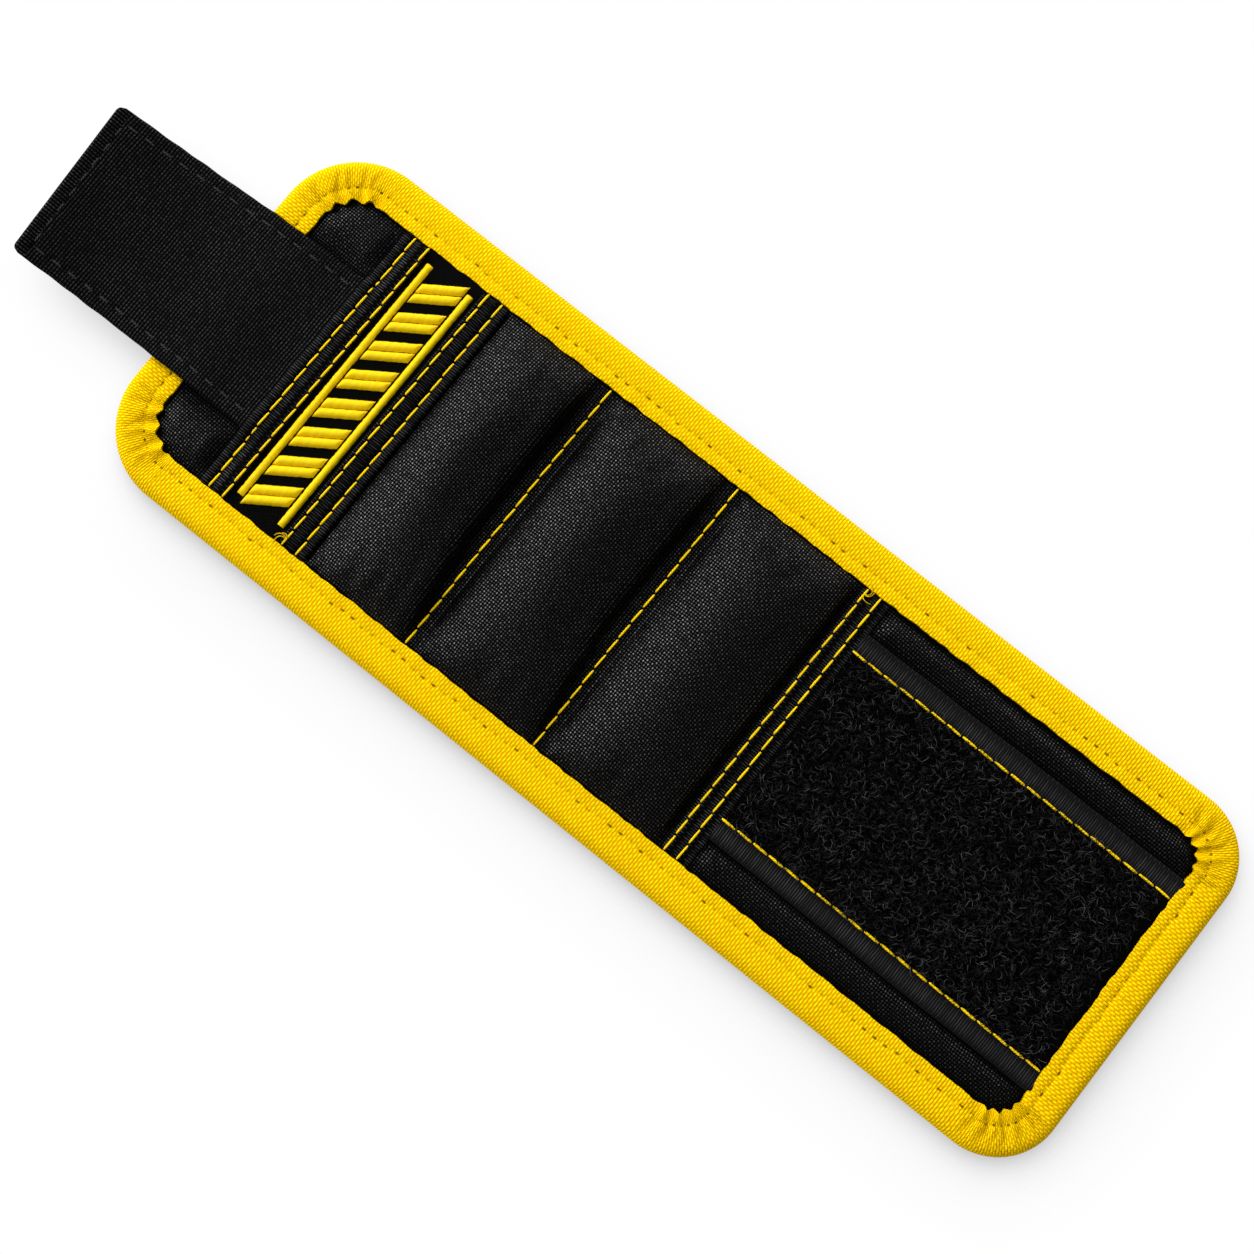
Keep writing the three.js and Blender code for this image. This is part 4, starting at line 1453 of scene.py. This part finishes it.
def add_satin(bm, lay, start, end, section, draw):
    """A raised satin column from start to end, with threads across it."""
    width, height = section
    along = end - start
    length = along.length
    way = along.normalized()
    side = UP.cross(way)
    columns = max(6, round(length / (0.4 * MM)))
    rows = 8
    jag = [draw.uniform(-0.06, 0.06) * MM for _ in range(columns + 1)]
    shear = -side.x / way.x if abs(way.x) > abs(way.y) else 0.0
    made = bmesh.ops.create_grid(bm, x_segments=columns, y_segments=rows, size=1)
    for vert in made["verts"]:
        share = (vert.co.x + 1) / 2
        across = vert.co.y
        step = min(round(share * columns), columns)
        end_near = min(share, 1 - share) * length
        swell = height * (1 - across ** 2) ** 0.6 * (0.35 + 0.65 * ease(end_near / (0.7 * MM)))
        half = width / 2 + jag[step]
        point = start + way * (share * length + across * half * shear) + side * (across * half) + UP * swell
        vert.co = point
        vert[lay] = (share * length, across * half, 0)


def embroidery():
    """Two long border bars, with a row of slanted bars between them."""
    draw = random.Random(3)
    bm = bmesh.new()
    lay = bm.verts.layers.float_vector.new("lay")
    level = LABEL_TOP - 0.02 * MM
    half = BORDER_HALF
    for x in (LABEL_MIDDLE - BORDER_OFFSET, LABEL_MIDDLE + BORDER_OFFSET):
        add_satin(bm, lay, Vector((x, -half, level)), Vector((x, half, level)), BORDER_SECTION, draw)
    spacing = 2 * half / BARS
    for i in range(BARS):
        middle = -half + spacing * (i + 0.5)
        for part in (-1, 1):
            y = middle + part * BAR_OFFSET
            low = Vector((LABEL_MIDDLE - BAR_REACH, y - BAR_SLANT, level))
            high = Vector((LABEL_MIDDLE + BAR_REACH, y + BAR_SLANT, level))
            add_satin(bm, lay, low, high, BAR_SECTION, draw)
    add_back(bm, lambda point: Vector((point.x, point.y, level - 0.1 * MM)))
    piece = finished("embroidered_bars", bm, EMBROIDERY, EMBROIDERY)
    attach(piece, "label_section")


# Putting the band together


def dress_band():
    """The padded body and the binding, each cut mid-section."""
    sections = ["label", "channel_1", "channel_2", "channel_3", "tail_inner", "tail_outer"]
    start = band_body("band_body_start", BAND_START + BODY_INSET, CUTS[0])
    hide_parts("shell_label", "foam_label", "lining_label")
    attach(start, "label_section")
    finish = band_body("band_body_end", CUTS[5], BAND_END - BODY_INSET)
    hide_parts("shell_tail_outer", "foam_tail_outer", "lining_tail_outer")
    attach(finish, "tail_outer")
    binding_start = binding_end("binding_strap_end", -1, BAND_START, STRAP_END_R, CUTS[0])
    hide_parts("binding_label")
    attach(binding_start, "label_section")
    binding_finish = binding_end("binding_tail_end", 1, BAND_END, TAIL_END_R, CUTS[5])
    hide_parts("binding_tail_outer")
    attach(binding_finish, "tail_outer")
    for i, (low, high) in enumerate(zip(CUTS, CUTS[1:])):
        body = band_body(f"band_body_{i + 1}", low, high)
        bend_at(body)
        sides = [binding_side(f"binding_{side}_{i + 1}", hand, low, high)
                 for side, hand in (("front", -1), ("rear", 1))]
        for side in sides:
            bend_at(side)
        if 0 < i:
            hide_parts(f"shell_{sections[i]}", f"foam_{sections[i]}", f"lining_{sections[i]}")
            for side, hand in zip(sides, ("front", "rear")):
                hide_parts(f"binding_{sections[i]}_{hand}")


def dress_channels():
    """The channel covers and the rows between them."""
    stops = [COVER_START, *CUTS[1:4], COVER_END]
    for i, (low, high) in enumerate(zip(stops, stops[1:])):
        cover = channel_cover(f"channel_cover_{i + 1}", low, high)
        bend_at(cover)
        if i < 3:
            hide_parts(f"pocket_channel_{i + 1}", f"pad_channel_{i + 1}")
    for index in (1, 2):
        divider_row(index)


def dress_label():
    """The label panel with its raised bars, and the three seam tapes with their rows."""
    label_panel()
    embroidery()
    for name, body in (("strap", "label_section"), ("channels", "label_section"), ("tail", "tail_inner")):
        places = [TAPE_LOW[name].x + offset for offset in TAPE_ROWS[name]]
        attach(seam_tape(name, places), body)
        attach(tape_rows(name, places), body)
    thread_ends()


def dress_strap():
    """The strap's two stretches with their hems, and the hook tape."""
    root = strap_piece("strap_root_cloth", STRAP_START, STRAP_SPLIT)
    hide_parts("strap_root_webbing")
    free = strap_piece("strap_free_cloth", STRAP_SPLIT, STRAP_TIP)
    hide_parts("strap_tip_webbing")
    root_hem = hem_rows("stitches_strap_root", STRAP_START, STRAP_SPLIT, False)
    free_hem = hem_rows("stitches_strap_free", STRAP_SPLIT, STRAP_TIP, True)
    for piece in (root, root_hem):
        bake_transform(piece)
    for piece in (free, free_hem):
        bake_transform(piece)
    hook_tape()


def dress_tail():
    """The loop tape: its ground, its pile in two halves, and its rows."""
    loop_base()
    half = LOOP_STITCH_Y - PILE_INSET
    loop_pile("loop_pile_front", -half, 0, 11)
    loop_pile("loop_pile_rear", 0, half, 12)
    loop_rows()


# The studio


KEY_WAY = Vector((-0.82, 0.55, 0.9))
FILL_WAY = Vector((0.5, -0.7, 1.2))
FLOOR_HALF = 4
FLOOR_LEVEL = -0.1 * MM
# How far the floor's painted shadow reaches from the band
PAINTED_SHADOW_REACH = 22 * MM
CLOSE_TO_FLOOR = (30 * MM, 10 * MM)
# The camera, fitted to the photograph's outline
CAMERA_TARGET = Vector((16.94 * MM, -2.7 * MM, 0))
CAMERA_DISTANCE = 375.33 * MM
CAMERA_AZIMUTH = math.radians(38.43)
CAMERA_ELEVATION = math.radians(83.33)


def ray_facts(tree, *names):
    """What the Light Path node says of a ray, as signals."""
    path = tree.nodes.new("ShaderNodeLightPath")
    return [Signal(tree, path.outputs[name]) for name in names]


def mixed(tree, share, first, second):
    """A shader that goes from the first to the second with a signal."""
    node = tree.nodes.new("ShaderNodeMixShader")
    plug(tree, share, node.inputs[0])
    tree.links.new(first.outputs[0], node.inputs[1])
    tree.links.new(second.outputs[0], node.inputs[2])
    return node


def studio_floor():
    """A pale floor that lets light close below the band through, and the camera's view, dimmed by a painted
    shadow.
    """
    bm = bmesh.new()
    bmesh.ops.create_grid(bm, x_segments=1, y_segments=1, size=FLOOR_HALF)
    bmesh.ops.translate(bm, verts=list(bm.verts), vec=(0, 0, FLOOR_LEVEL))
    floor_finish = bpy.data.materials.new("studio_floor")
    floor_finish.use_nodes = True
    tree = floor_finish.node_tree
    shader = tree.nodes["Principled BSDF"]
    shader.inputs["Base Color"].default_value = (0.96, 0.96, 0.96, 1)
    shader.inputs["Roughness"].default_value = 0.9
    shader.inputs["Specular IOR Level"].default_value = 0.1
    glow = tree.nodes.new("ShaderNodeEmission")
    glow.inputs["Color"].default_value = (1, 1, 1, 1)
    camera_ray, glossy_ray, transmission_ray, diffuse_ray, ray_length = ray_facts(
        tree, "Is Camera Ray", "Is Glossy Ray", "Is Transmission Ray", "Is Diffuse Ray", "Ray Length")
    mirrored = mixed(tree, glossy_ray.math("MAXIMUM", transmission_ray), shader, glow)
    toward_key = tree.nodes.new("ShaderNodeCombineXYZ")
    for socket, value in zip(toward_key.inputs, KEY_WAY.normalized()):
        socket.default_value = value
    geometry = tree.nodes.new("ShaderNodeNewGeometry")
    from_below = Signal(tree, geometry.outputs["Backfacing"])
    # Painted shadow: ambient occlusion aimed at the key darkens the floor that the camera sees through.
    painted_shadow_ao = tree.nodes.new("ShaderNodeAmbientOcclusion")
    painted_shadow_ao.samples = 16
    plug(tree, camera_ray * (from_below * -1 + 1) * PAINTED_SHADOW_REACH, painted_shadow_ao.inputs["Distance"])
    tree.links.new(toward_key.outputs[0], painted_shadow_ao.inputs["Normal"])
    shade = Signal(tree, painted_shadow_ao.outputs["AO"]).stretch(0.3, 0.98, 0.55, 1.0)
    through = tree.nodes.new("ShaderNodeBsdfTransparent")
    plug(tree, shade, through.inputs["Color"])
    from_close = diffuse_ray * ray_length.stretch(*CLOSE_TO_FLOOR)
    let_through = camera_ray.math("MAXIMUM", from_below).math("MAXIMUM", from_close)
    opened = mixed(tree, let_through, mirrored, through)
    tree.links.new(opened.outputs[0], tree.nodes["Material Output"].inputs["Surface"])
    finished("studio_floor", bm, floor_finish)


def studio_world():
    """Soft light all round, stronger from the strap's side, with a low window there and one at the rear."""
    world = bpy.data.worlds.new("studio_world")
    bpy.context.scene.world = world
    world.use_nodes = True
    tree = world.node_tree
    background = tree.nodes["Background"]
    background.inputs["Color"].default_value = (1, 1, 1, 1)
    coordinates = tree.nodes.new("ShaderNodeTexCoord")
    east, north, height = parts_of(tree, Signal(tree, coordinates.outputs["Generated"]))
    camera_ray, glossy_ray, transmission_ray = ray_facts(
        tree, "Is Camera Ray", "Is Glossy Ray", "Is Transmission Ray")
    low = height.stretch(0.12, 0.02)
    seen = camera_ray.math("MAXIMUM", glossy_ray.math("MAXIMUM", transmission_ray) * low)
    toward = (east * -0.95 + north * 0.3).stretch(-0.6, 0.6, 0.45, 1.0)
    window = (east * -0.93 + north * 0.02 + height * 0.36).stretch(0.5, 1.0, 0.0, 2.0)
    rear = (east * -0.1 + north * 0.97 + height * 0.2).stretch(0.65, 1.0, 0.0, 0.8)
    light = height.stretch(0.05, 0.7, 0.9, 0.34) * toward + window + rear
    plug(tree, light + seen * (light * -1 + 1), background.inputs["Strength"])


def studio_lamps():
    """A broad key from the strap's side and a weak fill from the other."""
    centre = Vector(((BAND_START + BAND_END) / 2, 0, 0))
    for name, way, distance, size, power in (
        ("key", KEY_WAY, 1.0, 0.5, 6),
        ("fill", FILL_WAY, 1.1, 0.9, 0.6),
    ):
        lamp = bpy.data.lights.new(f"{name}_light", "AREA")
        lamp.size = size
        lamp.energy = power
        holder = bpy.data.objects.new(f"{name}_light", lamp)
        bpy.context.scene.collection.objects.link(holder)
        holder.visible_glossy = False
        holder.location = centre + way.normalized() * distance
        holder.rotation_euler = (centre - holder.location).to_track_quat("-Z", "Y").to_euler()


def studio_camera():
    """The camera at the photograph's angle."""
    back = Vector((
        math.sin(CAMERA_AZIMUTH) * math.cos(CAMERA_ELEVATION),
        -math.cos(CAMERA_AZIMUTH) * math.cos(CAMERA_ELEVATION),
        math.sin(CAMERA_ELEVATION),
    ))
    camera = bpy.data.cameras.new("camera")
    camera.lens = 50
    camera.sensor_width = 36
    camera.clip_start = 0.01
    eye = bpy.data.objects.new("camera", camera)
    bpy.context.scene.collection.objects.link(eye)
    eye.location = CAMERA_TARGET + back * CAMERA_DISTANCE
    eye.rotation_euler = (CAMERA_TARGET - eye.location).to_track_quat("-Z", "Y").to_euler()
    bpy.context.scene.camera = eye


studio_floor()
studio_world()
studio_lamps()
studio_camera()
dress_band()
dress_channels()
dress_label()
dress_strap()
dress_tail()
for node_name, node in frame["nodes"].items():
    if node_name.startswith("magnet_"):
        node.data.materials.clear()
        node.data.materials.append(NICKEL)

bpy.context.scene.view_settings.view_transform = "Standard"
